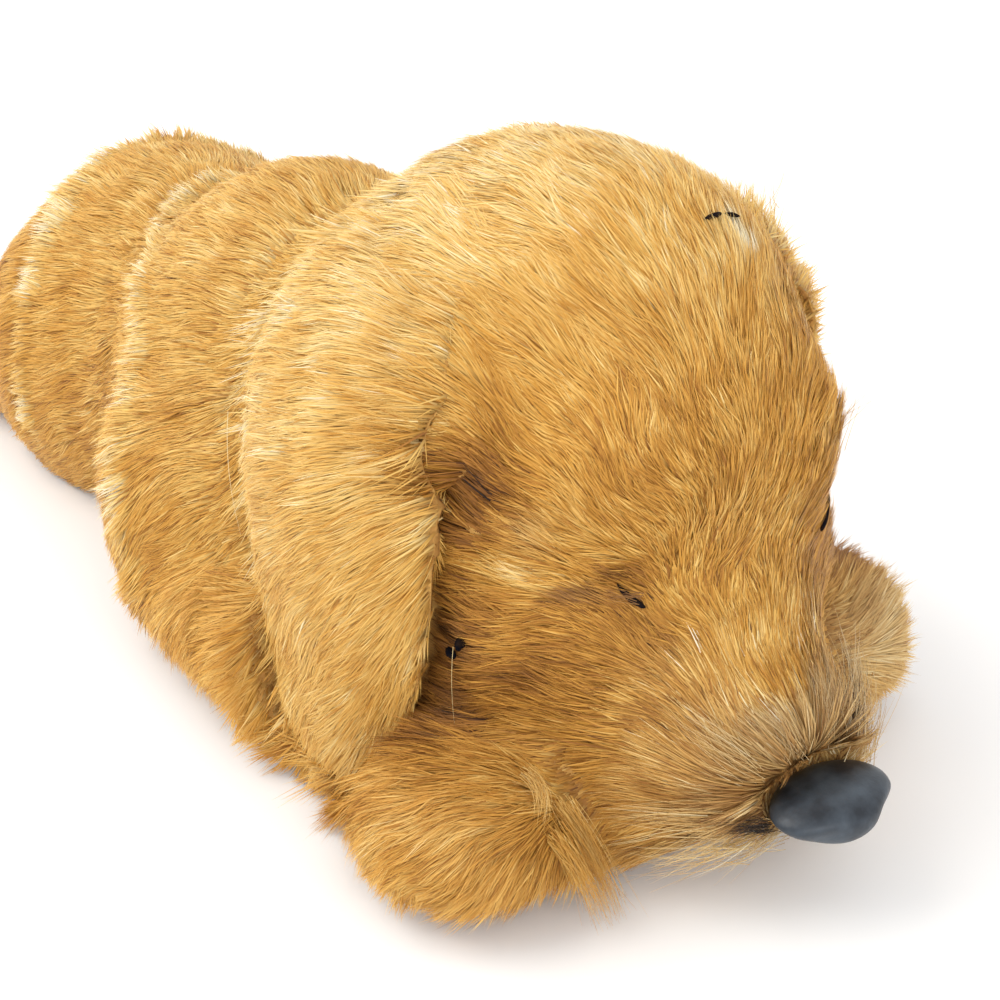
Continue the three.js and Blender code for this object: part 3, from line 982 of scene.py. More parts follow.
BODY_STROKES = (
    Stroke("bridge of the muzzle", (0, 12, 26), (0.1, 0.3, 0.9), 4.5, 0.63, 6),
    Stroke("side of the muzzle", (9, 12, 20), (0.5, 0.7, 0.5), 7.0, 0.58, 7, 12, 0.15),
    Stroke("above the nose", (3, 6.5, 19), (0.25, 0.5, 0.8), 7.0, 0.66, 5, 10, 0.6, 1.6),
    Stroke("lip beside the nose", (9, 7, 13), (0.75, 0.65, 0.1), 7.0, 0.60, 5, grey=0.4, depth=1.8),
    Stroke("chin", (7, 9, 6), (0.6, 0.65, -0.25), 6.0, 0.60, 7, grey=0.35, depth=3.0),
    Stroke("fringe below the jaw", (14, 16, 6), (0.55, 0.55, -0.45), 6.5, 0.58, 8, grey=0.1, depth=2.6),
    Stroke("upper bridge", (4, 16, 34), (0.1, 0.25, 0.95), 3.8, 0.58, 8, 9),
    Stroke("forehead", (5, 18, 48), (0.0, 0.35, 0.93), 4.0, 0.55, 10, 9),
    Stroke("forehead side", (14, 24, 52), (0.15, 0.72, 0.65), 4.2, 0.58, 10, 9),
    Stroke("crown front", (5, 28, 64), (0.1, 0.86, 0.4), 5.5, 0.72, 10, depth=0.6),
    Stroke("crown", (6, 42, 70), (0.2, 0.97, 0.05), 6.0, 0.84, 12, depth=0.2),
    Stroke("nape", (8, 62, 66), (0.2, 0.95, -0.25), 6.0, 0.84, 12, depth=0.2),
    Stroke("neck side", (22, 72, 40), (0.35, 0.85, -0.4), 5.0, 0.70, 14),
    Stroke("sewn edge of the ear", (21, 42, 62), (0.3, 0.94, 0.0), 6.0, 0.78, 8, depth=0.8),
    Stroke("sewn edge at the temple", (28, 42, 52), (0.3, 0.92, -0.2), 6.0, 0.76, 6, depth=0.8),
    Stroke("head before the ear", (17, 30, 57), (0.25, 0.9, 0.25), 5.5, 0.62, 7, depth=1.0),
    Stroke("edge of the muzzle", (11, 14, 26), (0.45, 0.6, 0.65), 7.5, 0.60, 4, 20, 0.35, 1.2),
    Stroke("brow", (12, 21, 43), (0.35, 0.6, 0.7), 3.8, 0.60, 7, 9),
    Stroke("outer eye corner", (18, 24, 36), (0.6, 0.78, -0.1), 4.0, 0.60, 6, 9),
    Stroke("below the eye", (14, 20, 29), (0.5, 0.6, 0.35), 4.0, 0.41, 6, 9),
    Stroke("cheek", (18, 24, 22), (0.7, 0.6, 0.35), 5.2, 0.46, 8, 9),
    Stroke("lower cheek", (17, 21, 13), (0.65, 0.72, -0.15), 7.0, 0.50, 7),
    # The temple and the hollows before the ear get dark tones as painted shade, for the shade in the
    # hollow between the ear flap and the face.
    Stroke("temple", (21, 32, 43), (0.3, 0.8, 0.3), 6.0, 0.42, 6, 9, depth=2.0),
    Stroke("hollow before the ear", (24, 34, 30), (0.5, 0.85, 0.05), 6.5, 0.34, 8, depth=2.0),
    Stroke("low hollow before the ear", (24, 32, 19), (0.3, 0.9, -0.3), 7.5, 0.28, 7, 10, depth=2.4),
    Stroke("top of the paw", (26, 24, 18), (0.9, 0.05, 0.05), 6.0, 0.66, 9, 11, 0.12, 1.8),
    Stroke("outside of the paw", (37, 30, 10), (0.6, 0.4, -0.7), 5.5, 0.64, 10, 7, depth=2.0),
    Stroke("front of the paw", (28, 17, 8), (0.75, 0.1, -0.6), 5.5, 0.60, 9, 7, depth=2.4),
    Stroke("inside of the paw", (17, 21, 9), (0.1, 0.1, -0.95), 6.5, 0.60, 6, 10, depth=2.0),
    Stroke("forearm top", (30, 60, 18), (0.5, 0.4, -0.2), 6.0, 0.66, 14, depth=0.6),
    Stroke("forearm side", (37, 62, 9), (0.6, 0.35, -0.65), 5.5, 0.62, 14, depth=0.2),
    Stroke("shoulder top", (6, 84, 56), (0.25, 0.95, -0.1), 4.8, 0.72, 14, depth=0.3),
    Stroke("shoulder side", (26, 84, 34), (0.5, 0.6, -0.6), 4.8, 0.66, 12),
    Stroke("chest top", (4, 98, 52), (0.05, 1.0, 0.08), 4.8, 0.72, 14, depth=0.6),
    Stroke("chest upper side", (15, 98, 46), (0.27, 0.95, -0.1), 4.8, 0.70, 12),
    Stroke("chest side", (22, 92, 36), (0.3, 0.88, -0.4), 4.8, 0.68, 12),
    Stroke("elbow", (34, 88, 18), (0.55, 0.35, -0.75), 4.8, 0.58, 14, depth=0.8),
    Stroke("behind the elbow", (26, 108, 16), (0.35, 0.75, -0.55), 4.8, 0.54, 12),
    Stroke("waist", (8, 124, 44), (0.15, 1.0, 0.0), 4.8, 0.68, 12),
    Stroke("flank", (22, 126, 28), (0.2, 0.92, -0.35), 4.8, 0.62, 14),
    Stroke("hip top", (6, 140, 44), (0.3, 0.95, -0.08), 4.8, 0.71, 14),
    Stroke("thigh", (28, 148, 18), (0.3, 0.75, -0.6), 4.8, 0.58, 16),
    Stroke("rump", (6, 160, 32), (0.2, 0.85, -0.5), 6.0, 0.60, 14),
    Stroke("hind foot", (20, 176, 10), (0.15, 0.95, -0.35), 5.0, 0.54, 12),
    Stroke("tail", (4, 180, 8), (0.1, 0.98, -0.1), 7.0, 0.56, 8),
)

BODY_PATCHES = (
    # Painted shade over the closed eye's lid.
    Patch("eye shadow", (14.4, 19.8, 36.6), (2.6, 2.4, 1.0), -0.60, 0.2, 0.4),
    Patch("brown streaks by the eye", (16.4, 22.2, 33.8), (2.8, 3, 0.9), -0.30, 0.5),
    Patch("golden ridge to the eye", (20.2, 27.6, 35.0), (4.6, 5.5, 1.5), 0.38, -0.2),
    # Painted shade in the hollow behind the brow, between the ear flap and the face.
    Patch("upper hollow", (20.9, 31.2, 42.2), (2.4, 3.4, 4.6), -0.30),
    Patch("pale rim of the hollow", (18.4, 26.6, 39.4), (1.8, 3, 2.2), 0.14, 0.25),
    # Painted shade round the two holes before the ear.
    Patch("shade round the hole", (24.3, 32.0, 26.8), (1.8, 2.4, 1.6), -0.30, 0.3, 0.7, Side.RIGHT),
    Patch("lesser hole", (26.2, 34.7, 25.3), (1.2, 1.4, 0.7), -0.5, 0.3, 0.5, Side.RIGHT),
    Patch("dark slant, outer", (22.8, 27.4, 26.6), (1.8, 2.2, 1.2), -0.32),
    Patch("dark slant, middle", (21.1, 24.8, 24.8), (1.8, 2.2, 1.2), -0.30),
    Patch("dark slant, inner", (19.4, 22.9, 23.2), (1.8, 2.2, 1.2), -0.24),
    # Painted shade low in the hollow before the ear.
    Patch("lower hollow", (25, 34, 20), (4, 5, 6), -0.20),
    Patch("golden bridge", (2, 12.5, 28), (5, 4, 5), 0.10, -0.3),
    Patch("red patch on the bridge", (1.2, 9.4, 22.8), (3.6, 2.0, 1.6), -0.26, -0.7),
    Patch("dark hair at the nose's end", (8.0, 6.5, 13.0), (2.0, 2.2, 1.4), -0.42, 0.3),
    Patch("brown fleck on the crown", (0.6, 33.8, 69.3), (0.9, 1.3, 0.7), -0.32),
    Patch("pale fleck on the crown", (1.2, 32.0, 68.8), (1.3, 0.9, 0.9), 0.2, 0.2),
    Patch("bare edge of the seam", (5.0, 28.2, 66.8), (3.0, 1.0, 1.0), 0.0, 0.0, 0.5, Side.LEFT),
    Patch("glue line", (6.6, 26.2, 64.0), (1.1, 2.6, 2.2), 0.8, 0.9, 0.4, Side.LEFT),
    Patch("glue fleck", (4.0, 24.1, 62.7), (0.9, 0.9, 1.2), 0.35, 0.4, 0.2, Side.LEFT),
    Patch("dark fleck on the forehead", (0.9, 22.5, 61.2), (0.7, 0.9, 1.5), -0.28, 0.0, 0.0, Side.LEFT),
    Patch("grey far paw", (24, 21, 15), (8, 8, 8), 0.12, 0.5, 0.0, Side.LEFT),
    # Painted shade where the paw and the body meet the floor.
    Patch("red base of the paw", (28, 17, 0.5), (12, 8, 1.8), -0.24),
    Patch("floor shade", (30, 60, 0), (40, 120, 4), -0.12),
)

# Two folds, each painted with a highlight on its rim and shade in its crease.
BODY_FOLDS = (
    Fold(
        "behind the chest",
        ((0, 128, 45), (8, 125, 44), (14, 117, 43), (22, 107, 39))
        + ((27, 100, 34), (31.5, 95, 28), (35, 91, 21), (36, 88, 12)),
    ),
    Fold(
        "before the hind leg",
        ((0, 152, 45), (6, 150, 44), (15, 144, 40), (22, 140, 34), (26, 137, 25), (28, 137, 12)),
    ),
)

SEWN_SPOTS = (
    Spot("ear crown", (12, 42, 68), (12, 12, 8)),
    Spot("ear front at the crown", (20, 34, 60), (9, 7, 9)),
    Spot("ear front at the temple", (25, 35, 50), (5, 4, 6)),
)

EAR_STROKES = (
    Stroke("ear crown", (14, 46, 65), (0.3, 0.95, -0.1), 6.0, 0.84, 10),
    Stroke("ear shoulder", (24, 46, 59), (0.3, 0.95, -0.15), 6.0, 0.84, 10),
    Stroke("ear temple", (30, 44, 48), (0.3, 0.92, -0.25), 6.0, 0.74, 10),
    Stroke("ear middle", (33, 44, 37), (0.2, 0.72, -0.6), 6.0, 0.72, 10),
    Stroke("ear low", (33, 45, 24), (0.15, 0.48, -0.86), 6.0, 0.70, 10),
    Stroke("ear tip", (32, 46, 10), (0.3, 0.45, -0.85), 6.5, 0.68, 10),
)

EAR_PATCHES = (
    # A painted highlight along the ear's back edge, which faces the light.
    Patch("pale back edge", (31, 65, 40), (8, 3.2, 26), 0.24),
    Patch("shaded front edge", (27, 33, 34), (3, 2.5, 18), -0.12),
    # Painted shade at the top of the ear's front edge, where it meets the face.
    Patch("upper front edge", (22, 34, 54), (6, 5, 8), -0.12),
)


@dataclass
class FurredBody:
    """The covered body: its skin and the coats of rump, flank, head, muzzle and forelegs."""

    voxel: float = 1.2
    melt_rounds: int = 60
    under_ear: float = 3.0
    nose_collar: float = 0.9
    collar_reach: float = 3.5
    bare_rim: float = 0.4
    muzzle_reach: float = 17.0
    head_back: float = 66.0
    chest_back: float = 122.0
    leg_top: float = 21.0
    leg_side: float = 18.5
    leg_back: float = 82.0
    muzzle_middle: tuple[float, float, float] = (0.0, 6.0, 14.0)
    belly_turn: tuple[float, float] = (0.35, 0.8)
    belly_top: float = 6.0
    covered: float = 0.7
    touching: tuple[float, float] = (1.0, 2.0)
    sewn_turn: tuple[float, float] = (0.15, 0.4)
    skin: Skin = field(init=False)

    def zones(self, place: np.ndarray) -> dict[str, np.ndarray]:
        """Which triangles belong to which coat.

        Args:
            place: the triangles' middles as (out, back, up).

        Returns:
            A mask for each coat's name.
        """
        out, back, up = place.T
        muzzle = np.linalg.norm(place - self.muzzle_middle, axis=1) < self.muzzle_reach
        foreleg = (up < self.leg_top) & (out > self.leg_side) & (back < self.leg_back) & ~muzzle
        head = (back < self.head_back) & ~muzzle & ~foreleg
        rump = back >= self.chest_back
        flank = ~(muzzle | foreleg | head | rump)
        return {
            "muzzle_fur": muzzle,
            "foreleg_fur": foreleg,
            "head_fur": head,
            "flank_fur": flank,
            "rump_fur": rump,
        }

    def build(
        self, ears: list["FurredEar"], hide: bpy.types.Material, fur: bpy.types.Material
    ) -> list[bpy.types.Object]:
        """Makes the skin and grows its coats.

        The skin runs on over the ears where they are sewn to the head, melts the step there, and dips
        below them where they hang free.

        Args:
            ears: the ear flaps, with their skins made.
            hide: the material of the skin.
            fur: the material of the hairs.

        Returns:
            The pieces, the skin first.
        """
        self.skin = Skin(("body", "right_ear", "left_ear"), voxel=self.voxel)
        piece = self.skin.build("body_hide", hide)
        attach(piece, "root")
        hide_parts("body")
        comb = Comb(BODY_STROKES, BODY_PATCHES, BODY_FOLDS)
        hidden = self._hidden(ears, self.skin.points)
        self.skin.relax(share_of(SEWN_SPOTS, self.skin.points), self.melt_rounds)
        collar = np.exp(-((self._from_nose(puppy_places(self.skin.points)) / self.collar_reach) ** 2))
        depth = comb.read(self.skin.points).depth
        self.skin.sink(depth - self.nose_collar * collar + self.under_ear * hidden)
        middle, normal = self.skin.middles()
        place = puppy_places(middle)
        grows = 1.0 - step_between(-normal[:, 2], *self.belly_turn) * (place[:, 2] < self.belly_top)
        grows *= hidden[self.skin.corners].mean(1) < self.covered
        grows *= self._from_nose(place) > self.bare_rim
        coats = (
            Coat("rump_fur", comb, 2600, 64000),
            Coat("flank_fur", comb, 3400, 82000, clump_shade_share=0.13, clump_shade_step=0.26),
            Coat("head_fur", comb, 3400, 86000, sway=10.0, jitter=7.0, tone_hair=0.06),
            Coat(
                "muzzle_fur", comb, 2800, 36000, sway=9.0, tone_clump=0.10, tone_hair=0.08, clump_shade_share=0.14
            ),
            Coat("foreleg_fur", comb, 2400, 44000, sway=13.0, jitter=8.0),
        )
        zones = self.zones(place)
        pieces = [piece]
        for number, coat in enumerate(coats):
            density = grows * zones[coat.name]
            pieces.append(coat.grow(self.skin, density, Draw.BODY_COATS + number, fur))
        return pieces

    def _from_nose(self, place: np.ndarray) -> np.ndarray:
        """How far places lie outside the nose, taken as an egg shape, in millimetres."""
        middle = np.array([0.0, *(NOSE_LOW + NOSE_HIGH)[1:] / 2]) - [0.0, NOSE_TIP_Y, 0.0]
        half = (NOSE_HIGH - NOSE_LOW) / 2
        return (np.linalg.norm((place - middle) / half, axis=1) - 1) * half.mean()

    def _hidden(self, ears: list["FurredEar"], points: np.ndarray) -> np.ndarray:
        """How far each point of the skin is covered by a free-hanging ear flap, from nought to one."""
        away = np.min([ear.skin.distance_from(points) for ear in ears], axis=0)
        free = 1 - step_between(share_of(SEWN_SPOTS, points), *self.sewn_turn)
        return (1 - step_between(away, *self.touching)) * free


@dataclass
class FurredEar:
    """One ear flap: its skin and the coat over both of its faces."""

    side: Side
    voxel: float = 1.0
    melt_rounds: int = 25
    sewn_depth: float = 2.0
    clumps: int = 1400
    underfur: int = 34000
    melt_turn: tuple[float, float] = (0.1, 0.5)
    sewn_turn: tuple[float, float] = (0.2, 0.7)
    inner_density: float = 0.3
    top_facing: float = 0.4
    face_turn: tuple[float, float] = (-0.3, 0.3)
    skin: Skin = field(init=False)

    @property
    def name(self) -> str:
        """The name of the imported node."""
        return f"{self.side.name.lower()}_ear"

    def cut(self, hide: bpy.types.Material) -> bpy.types.Object:
        """Makes the flap's skin."""
        self.skin = Skin((self.name,), voxel=self.voxel, smoothing=5)
        piece = self.skin.build(self.name + "_hide", hide)
        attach(piece, "root")
        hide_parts(self.name)
        return piece

    def grow(self, fur: bpy.types.Material) -> bpy.types.Object:
        """Sinks the skin, deeper where the flap is sewn down, and grows its coat on both faces.

        Args:
            fur: the material of the hairs.

        Returns:
            The coat.
        """
        comb = Comb(EAR_STROKES, EAR_PATCHES)
        sewn = share_of(SEWN_SPOTS, self.skin.points)
        self.skin.relax(step_between(sewn, *self.melt_turn), self.melt_rounds)
        sunk = self.sewn_depth * step_between(sewn, *self.sewn_turn)
        self.skin.sink(comb.read(self.skin.points).depth + sunk)
        _, normal = self.skin.middles()
        outward = normal[:, 0] * self.side.value + self.top_facing * normal[:, 2]
        density = self.inner_density + (1 - self.inner_density) * step_between(outward, *self.face_turn)
        coat = Coat(self.name + "_fur", comb, self.clumps, self.underfur)
        piece = coat.grow(self.skin, density, Draw.EAR_COATS + self.side.value, fur)
        return piece


@dataclass
class MouldedNose:
    """The plastic nose button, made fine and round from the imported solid."""

    voxel: float = 0.34
    smoothing: int = 70
    press: tuple[float, float, float] = (1.22, 1.06, 0.72)
    shift: tuple[float, float, float] = (0.2, -0.1, -0.5)

    def build(self, plastic: bpy.types.Material) -> bpy.types.Object:
        """Makes the nose's smooth surface."""
        skin = Skin(("nose",), voxel=self.voxel, smoothing=self.smoothing)
        piece = skin.build("nose_button", plastic)
        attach(piece, "root")
        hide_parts("nose")
        middle = (NOSE_LOW + NOSE_HIGH) / 2
        skin.points = middle + (skin.points - middle) * self.press + self.shift
        skin.sink(0.0)
        return piece


@dataclass
class DarkSlit:
    """A dark slit in the hide, thick in the middle and pointed at both ends: a closed eye, or the painted
    shade in a hole.

    Its two ends are places of (out, back, up), and it keeps its height over the skin.
    """

    name: str
    side: Side
    start: tuple[float, float, float]
    end: tuple[float, float, float]
    sag: float = 0.0
    height: float = 0.75
    thick: float = 0.40
    facing: tuple[float, float, float] = (0.0, -1.0, 0.2)
    rings: int = 16
    sides: int = 10

    def build(self, skin: Skin, material: bpy.types.Material) -> bpy.types.Object:
        """Carries a round profile along the slit.

        The path runs straight from the start to the end, sags by a half sine and keeps its height over
        the skin. The radius is the thickness times the root of the same sine, so that both ends close
        in a point.

        Args:
            skin: the skin of the head.
            material: the dark material.

        Returns:
            The slit.
        """
        ends = np.array([self.start, self.end])
        t = np.linspace(0, 1, self.rings)[:, None]
        path = ends[0] * (1 - t) + ends[1] * t
        path[:, 2] -= self.sag * np.sin(math.pi * t[:, 0])
        path[:, 0] = MIDDLE_X + self.side.value * path[:, 0]
        path[:, 1] += NOSE_TIP_Y
        below = skin.nearest(path)
        away = ((path - skin.points[below]) * skin.normals[below]).sum(1, keepdims=True)
        path = path + skin.normals[below] * (self.height - away)
        radius = self.thick * np.sqrt(np.clip(np.sin(math.pi * t), 1e-6, 1))
        ahead = unit(path[-1] - path[0])
        up, over = square_to(ahead, self.facing)
        angle = 2 * math.pi * np.arange(self.sides) / self.sides
        ring = np.cos(angle)[:, None] * up + np.sin(angle)[:, None] * over
        points = (path[:, None] + radius[:, None] * ring[None]).reshape(-1, 3)
        piece = new_mesh(self.name, points, tube_faces(self.rings, self.sides))
        piece.data.materials.append(material)
        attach(piece, "root")
        return piece


@dataclass(frozen=True)
class Tuft:
    """A few long hairs that stand off the coat together, or a single stray one.

    The root and the tip are places of (out, back, up). The bow is how far the middle of each hair is
    carried along (out, back, up) from the straight line.
    """

    name: str
    side: Side
    root: tuple[float, float, float]
    tip: tuple[float, float, float]
    hairs: int = 1
    spread: float = 0.0
    bow: tuple[float, float, float] = (0.5, 0.0, 0.3)
    tone: float = 0.8
    grey: float = 0.2
    thick: float = 0.08


def closed_eye(side: Side) -> DarkSlit:
    """The line of one closed eye, which the other side mirrors."""
    name = f"{side.name.lower()}_eye_line"
    return DarkSlit(name, side, (14.9, 20.6, 36.2), (12.3, 18.8, 33.2), sag=0.35, height=0.6, thick=0.36)


SLITS = (
    closed_eye(Side.RIGHT),
    closed_eye(Side.LEFT),
    # The two holes before the ear: dark tubes of painted shade, standing for the shade deep in two pits of
    # the hide.
    DarkSlit(
        "hole_before_the_ear",
        Side.RIGHT, (25.8, 33.9, 27.4), (24.5, 32.8, 27.2), thick=0.75, height=1.0,
    ),
    DarkSlit("lesser_hole", Side.RIGHT, (26.6, 35.4, 25.6), (25.2, 34.2, 24.8), thick=0.5, height=1.0),
    DarkSlit("crown_gap", Side.LEFT, (2.2, 28.8, 67.0), (5.2, 29.6, 66.6), thick=0.28, height=0.8),
    DarkSlit("crown_gap_end", Side.LEFT, (5.6, 29.8, 66.4), (8.2, 30.0, 65.6), thick=0.22, height=0.7),
)

TUFTS = (
    Tuft("stray before the ear", Side.RIGHT, (25.6, 32.8, 27.6), (27.0, 31.0, 20.0), tone=0.9),
    Tuft("stray on the ear", Side.RIGHT, (32.5, 63, 44), (37.0, 54, 35.0), bow=(1.2, 0, 0.6), tone=0.9),
    Tuft(
        "hairs over the lid",
        Side.RIGHT, (13.4, 18.8, 35.6), (15.8, 21.6, 35.6), 16, 0.5, (0.3, -0.3, 0.2), 0.3, 0.4,
    ),
    Tuft("far brow", Side.LEFT, (11.5, 19, 45), (15.5, 19.5, 48.5), 16, 1.0, tone=0.62),
    Tuft("far crown", Side.LEFT, (13, 31, 63.5), (17, 35, 65.5), 14, 1.2, tone=0.7),
    Tuft(
        "paw, curl by the cheek",
        Side.RIGHT, (24.0, 22.6, 17.4), (24.6, 19.4, 14.2), 70, 0.8, (-0.6, -1.4, 1.2), 0.66, 0.15,
    ),
    Tuft(
        "paw, inner lock",
        Side.RIGHT, (21.6, 20.2, 13.6), (18.2, 15.6, 1.0), 130, 0.9, (0.3, -1.6, 1.6), 0.62, 0.1,
    ),
    Tuft(
        "paw, front lock",
        Side.RIGHT, (23.6, 18.8, 12.0), (20.6, 15.0, 2.4), 110, 1.1, (0.2, -1.4, 1.4), 0.58, 0.05,
    ),
    Tuft("chin", Side.RIGHT, (7.5, 9.0, 10.0), (15, 15, 6.4), 70, 1.8, (0.6, -0.4, -0.4), 0.78, 0.4),
    Tuft(
        "under the nose",
        Side.RIGHT, (4.0, 7.5, 9.8), (10.0, 11, 6.8), 40, 1.3, (0.3, -0.4, -0.4), 0.74, 0.6,
    ),
    Tuft("lip", Side.RIGHT, (9.6, 10.2, 12.5), (17.5, 17, 12.0), 50, 1.4, (1.0, 0.0, 0.4), 0.72, 0.35),
    Tuft(
        "dark lip hairs",
        Side.RIGHT, (6.8, 6.5, 12.4), (10.5, 8.5, 12.4), 44, 0.7, (0.4, 0.0, 0.2), 0.05, 0.9,
    ),
    Tuft(
        "side of the bridge",
        Side.RIGHT, (6.6, 8.6, 18.6), (11.5, 15, 23.6), 44, 1.2, (0.3, -0.3, 0.6), 0.72, 0.5,
    ),
    Tuft(
        "above the nose",
        Side.RIGHT, (2.8, 7.0, 19.2), (5.0, 10.8, 24.6), 40, 1.1, (0.2, -0.6, 0.6), 0.70, 0.65,
    ),
    Tuft(
        "above the nose, far",
        Side.LEFT, (1.8, 7.0, 19.2), (3.5, 10.8, 25.0), 40, 1.1, (0.2, -0.6, 0.6), 0.68, 0.7,
    ),
    Tuft(
        "far edge of the bridge",
        Side.LEFT, (5.8, 7.6, 18.2), (9.5, 12.4, 25.0), 60, 1.2, (0.9, -0.8, 0.8), 0.72, 0.75,
    ),
    Tuft(
        "dark far edge",
        Side.LEFT, (5.4, 7.6, 17.8), (9.0, 12.4, 23.6), 36, 1.0, (0.8, -0.6, 0.6), 0.2, 0.8,
    ),
    Tuft("far lip", Side.LEFT, (6.5, 7.0, 14.0), (14, 13, 17), 40, 1.6, (1.0, 0.0, 0.4), 0.7, 0.5),
)


@dataclass
class LooseHairs:
    """All tufts and stray hairs, as fine three-sided tubes that taper to a point."""

    tufts: tuple[Tuft, ...]
    rings: int = 7
    root_spread: float = 0.6
    tip_spread: float = 1.0
    bow_spread: float = 0.4
    tone_spread: float = 0.1
    lengths: tuple[float, float] = (0.75, 1.05)
    facing: tuple[float, float, float] = (0.3, 0.5, 0.8)
    taper: float = 0.8
    root_shade: float = 0.5

    def build(self, material: bpy.types.Material) -> bpy.types.Object:
        """Carries a three-sided profile along each hair's bow.

        A hair runs from its root A by its bow point B to its tip C, as (1 - t) squared of A, plus twice
        t (1 - t) of B, plus t squared of C. Its radius falls evenly from the root to a fifth at the tip.

        Args:
            material: the fur material.

        Returns:
            The hairs as one piece.
        """
        rng = np.random.default_rng(SEED + Draw.LOOSE_HAIRS)
        owner = np.repeat(np.arange(len(self.tufts)), self._each("hairs"))
        count = len(owner)
        spread = self._each("spread")[owner, None]
        ends = {key: self._places(key)[owner] for key in ("root", "tip")}
        root = ends["root"] + rng.normal(0, self.root_spread, (count, 3)) * spread
        tip = ends["tip"] + rng.normal(0, self.tip_spread, (count, 3)) * spread
        tip = root + (tip - root) * rng.uniform(*self.lengths, (count, 1))
        bow = self._each("bow") * self._signs()
        bend = (root + tip) / 2 + bow[owner] + rng.normal(0, self.bow_spread, (count, 3)) * spread
        t = np.linspace(0, 1, self.rings)[None, :, None]
        path = (1 - t) ** 2 * root[:, None] + 2 * t * (1 - t) * bend[:, None] + t**2 * tip[:, None]
        path[..., 2] = np.maximum(path[..., 2], FLOOR_CLEARANCE)
        ahead = unit(tip - root)
        first, second = square_to(ahead, self.facing)
        angle = 2 * math.pi * np.arange(3) / 3
        ring = (
            np.cos(angle)[None, :, None] * first[:, None] + np.sin(angle)[None, :, None] * second[:, None]
        )
        thick = self._each("thick")[owner, None, None, None]
        points = path[:, :, None] + ring[:, None] * (thick / 2 * (1 - self.taper * t[..., None]))
        last = (self.rings - 1) * 3
        caps = np.array([[2, 1, 0], [last, last + 1, last + 2]])
        faces = np.concatenate([tube_faces(self.rings, 3), caps])
        size = self.rings * 3
        faces = (np.arange(count)[:, None, None] * size + faces).reshape(-1, 3)
        piece = new_mesh("loose_hairs", points.reshape(-1, 3), faces)
        tone = self._each("tone")[owner] + rng.normal(0, self.tone_spread, count)
        grey = self._each("grey")[owner]
        add_number(piece.data, "tone", np.repeat(np.clip(tone, 0, 1), size))
        add_number(piece.data, "grey", np.repeat(grey, size))
        along = np.repeat(np.linspace(self.root_shade, 1, self.rings), 3)
        add_number(piece.data, "along", np.tile(along, count))
        piece.data.materials.append(material)
        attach(piece, "root")
        return piece

    def _signs(self) -> np.ndarray:
        """For each tuft, what turns (out, back, up) into ways along X, Y and Z."""
        return np.array([(tuft.side.value, 1, 1) for tuft in self.tufts])

    def _each(self, key: str) -> np.ndarray:
        """One named value of every tuft."""
        return np.array([getattr(tuft, key) for tuft in self.tufts])

    def _places(self, key: str) -> np.ndarray:
        """The named end of each tuft as X, Y and Z in millimetres."""
        return self._each(key) * self._signs() + [MIDDLE_X, NOSE_TIP_Y, 0]


@dataclass(frozen=True)
class Lamp:
    """A square soft light that faces the figure's head, in metres and watts."""

    name: str
    place: tuple[float, float, float]
    size: float
    power: float
    colour: tuple[float, float, float] = (1.0, 1.0, 1.0)
    target: tuple[float, float, float] = (0.0, -0.03, 0.04)

    def hang(self) -> None:
        """Makes the lamp and turns it to its target."""
        data = bpy.data.lights.new(self.name, "AREA")
        data.size = self.size
        data.energy = self.power
        data.color = self.colour
        lamp = bpy.data.objects.new(self.name, data)
        lamp.location = self.place
        ahead = Vector(self.target) - Vector(self.place)
        lamp.rotation_euler = ahead.to_track_quat("-Z", "Y").to_euler()
        into_scene(lamp)


LAMPS = (
    Lamp("key light", (-0.5, 0.35, 0.8), 0.7, 5.4, (1.0, 0.96, 0.90)),
    Lamp("front fill", (-0.35, -0.9, 0.5), 0.8, 3.4),
)


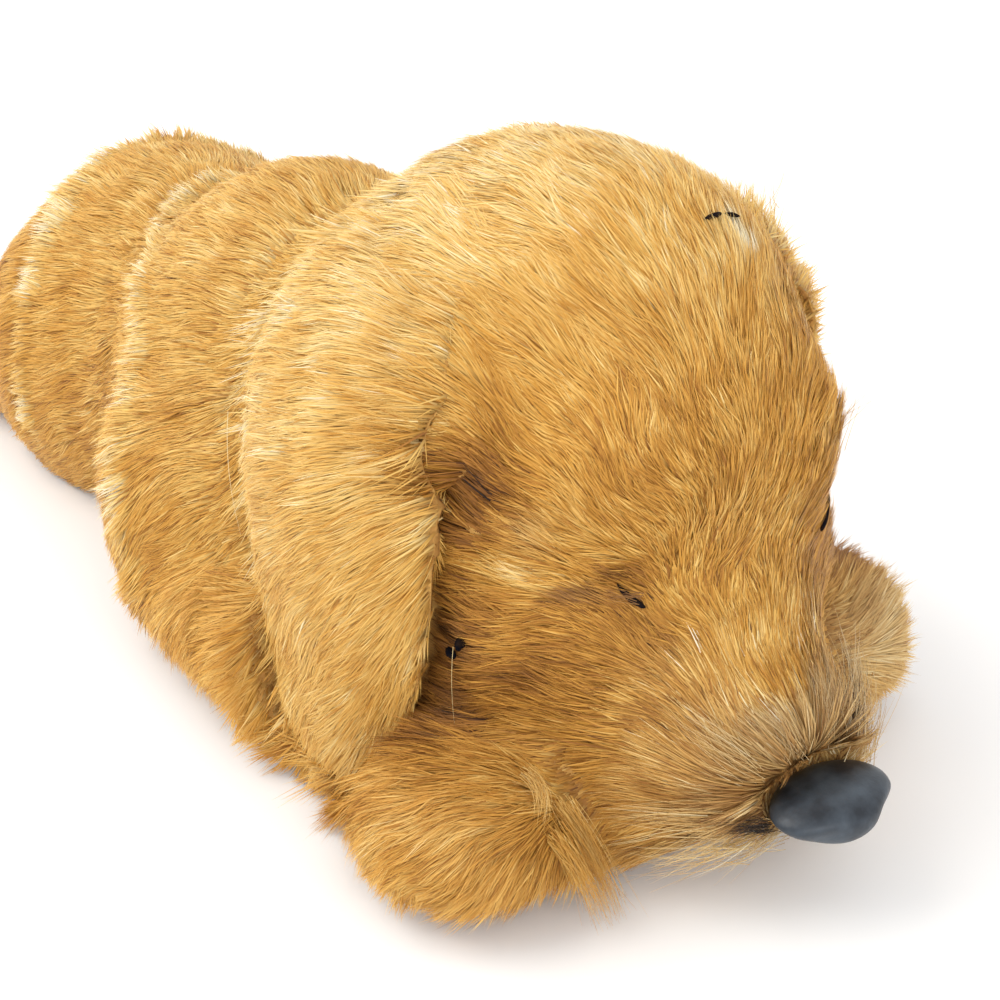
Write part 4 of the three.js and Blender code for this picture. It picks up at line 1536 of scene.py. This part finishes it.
@dataclass
class Studio:
    """The pale floor, the soft lights and the camera at the photograph's angle."""

    camera_place: tuple[float, float, float] = (-107.9, -184.3, 127.8)
    azimuth: float = -36.05
    elevation: float = 29.59
    roll: float = -1.12
    lens: float = 64.285
    clip_start: float = 0.01
    floor_size: float = 6.0
    world_strength: float = 1.0

    def build(self) -> None:
        """Makes floor, world, lights and camera."""
        self._floor()
        self._world()
        for lamp in LAMPS:
            lamp.hang()
        self._camera()

    def _floor(self) -> None:
        """A wide white plane at the height of the figure's underside."""
        half = self.floor_size / 2 / MM
        points = np.array([[-half, -half, 0], [half, -half, 0], [half, half, 0], [-half, half, 0.0]])
        floor = new_mesh("floor", points, np.array([[0, 1, 2], [0, 2, 3]]))
        floor.data.materials.append(FloorFinish().make())

    def _world(self) -> None:
        """An even white surround."""
        world = bpy.data.worlds.new("white surround")
        world.use_nodes = True
        background = world.node_tree.nodes["Background"]
        background.inputs["Color"].default_value = (1.0, 1.0, 1.0, 1.0)
        background.inputs["Strength"].default_value = self.world_strength
        bpy.context.scene.world = world

    def _camera(self) -> None:
        """A camera turned by azimuth and elevation about the figure, then rolled."""
        a, e, r = (math.radians(v) for v in (self.azimuth, self.elevation, self.roll))
        back = Vector((math.sin(a) * math.cos(e), -math.cos(a) * math.cos(e), math.sin(e)))
        right = Vector((math.cos(a), math.sin(a), 0.0))
        up = back.cross(right)
        right, up = right * math.cos(r) + up * math.sin(r), up * math.cos(r) - right * math.sin(r)
        data = bpy.data.cameras.new("camera")
        data.lens = self.lens
        data.clip_start = self.clip_start
        camera = bpy.data.objects.new("camera", data)
        turn = Matrix((right, up, back)).transposed().to_4x4()
        camera.matrix_world = Matrix.Translation(Vector(self.camera_place) * MM) @ turn
        into_scene(camera)
        bpy.context.scene.camera = camera


def main() -> None:
    """Builds the studio and the puppy, and reports each piece."""
    logging.basicConfig(level=logging.INFO, format="%(name)s: %(message)s")
    bpy.context.scene.view_settings.view_transform = "Standard"
    Studio().build()
    hide = HideFinish().make()
    fur = FurFinish().make()
    ears = [FurredEar(side) for side in Side]
    pieces = [ear.cut(hide) for ear in ears]
    body = FurredBody()
    pieces += body.build(ears, hide, fur)
    pieces += [ear.grow(fur) for ear in ears]
    pieces.append(LooseHairs(TUFTS).build(fur))
    pieces.append(MouldedNose().build(NoseFinish().make()))
    dark = DarkFinish().make()
    pieces += [slit.build(body.skin, dark) for slit in SLITS]
    total = 0
    for piece in pieces:
        piece.data.calc_loop_triangles()
        total += len(piece.data.loop_triangles)
        log.info("%s: %d triangles", piece.name, len(piece.data.loop_triangles))
    log.info("all pieces: %d triangles", total)


if __name__ == "__main__":
    main()
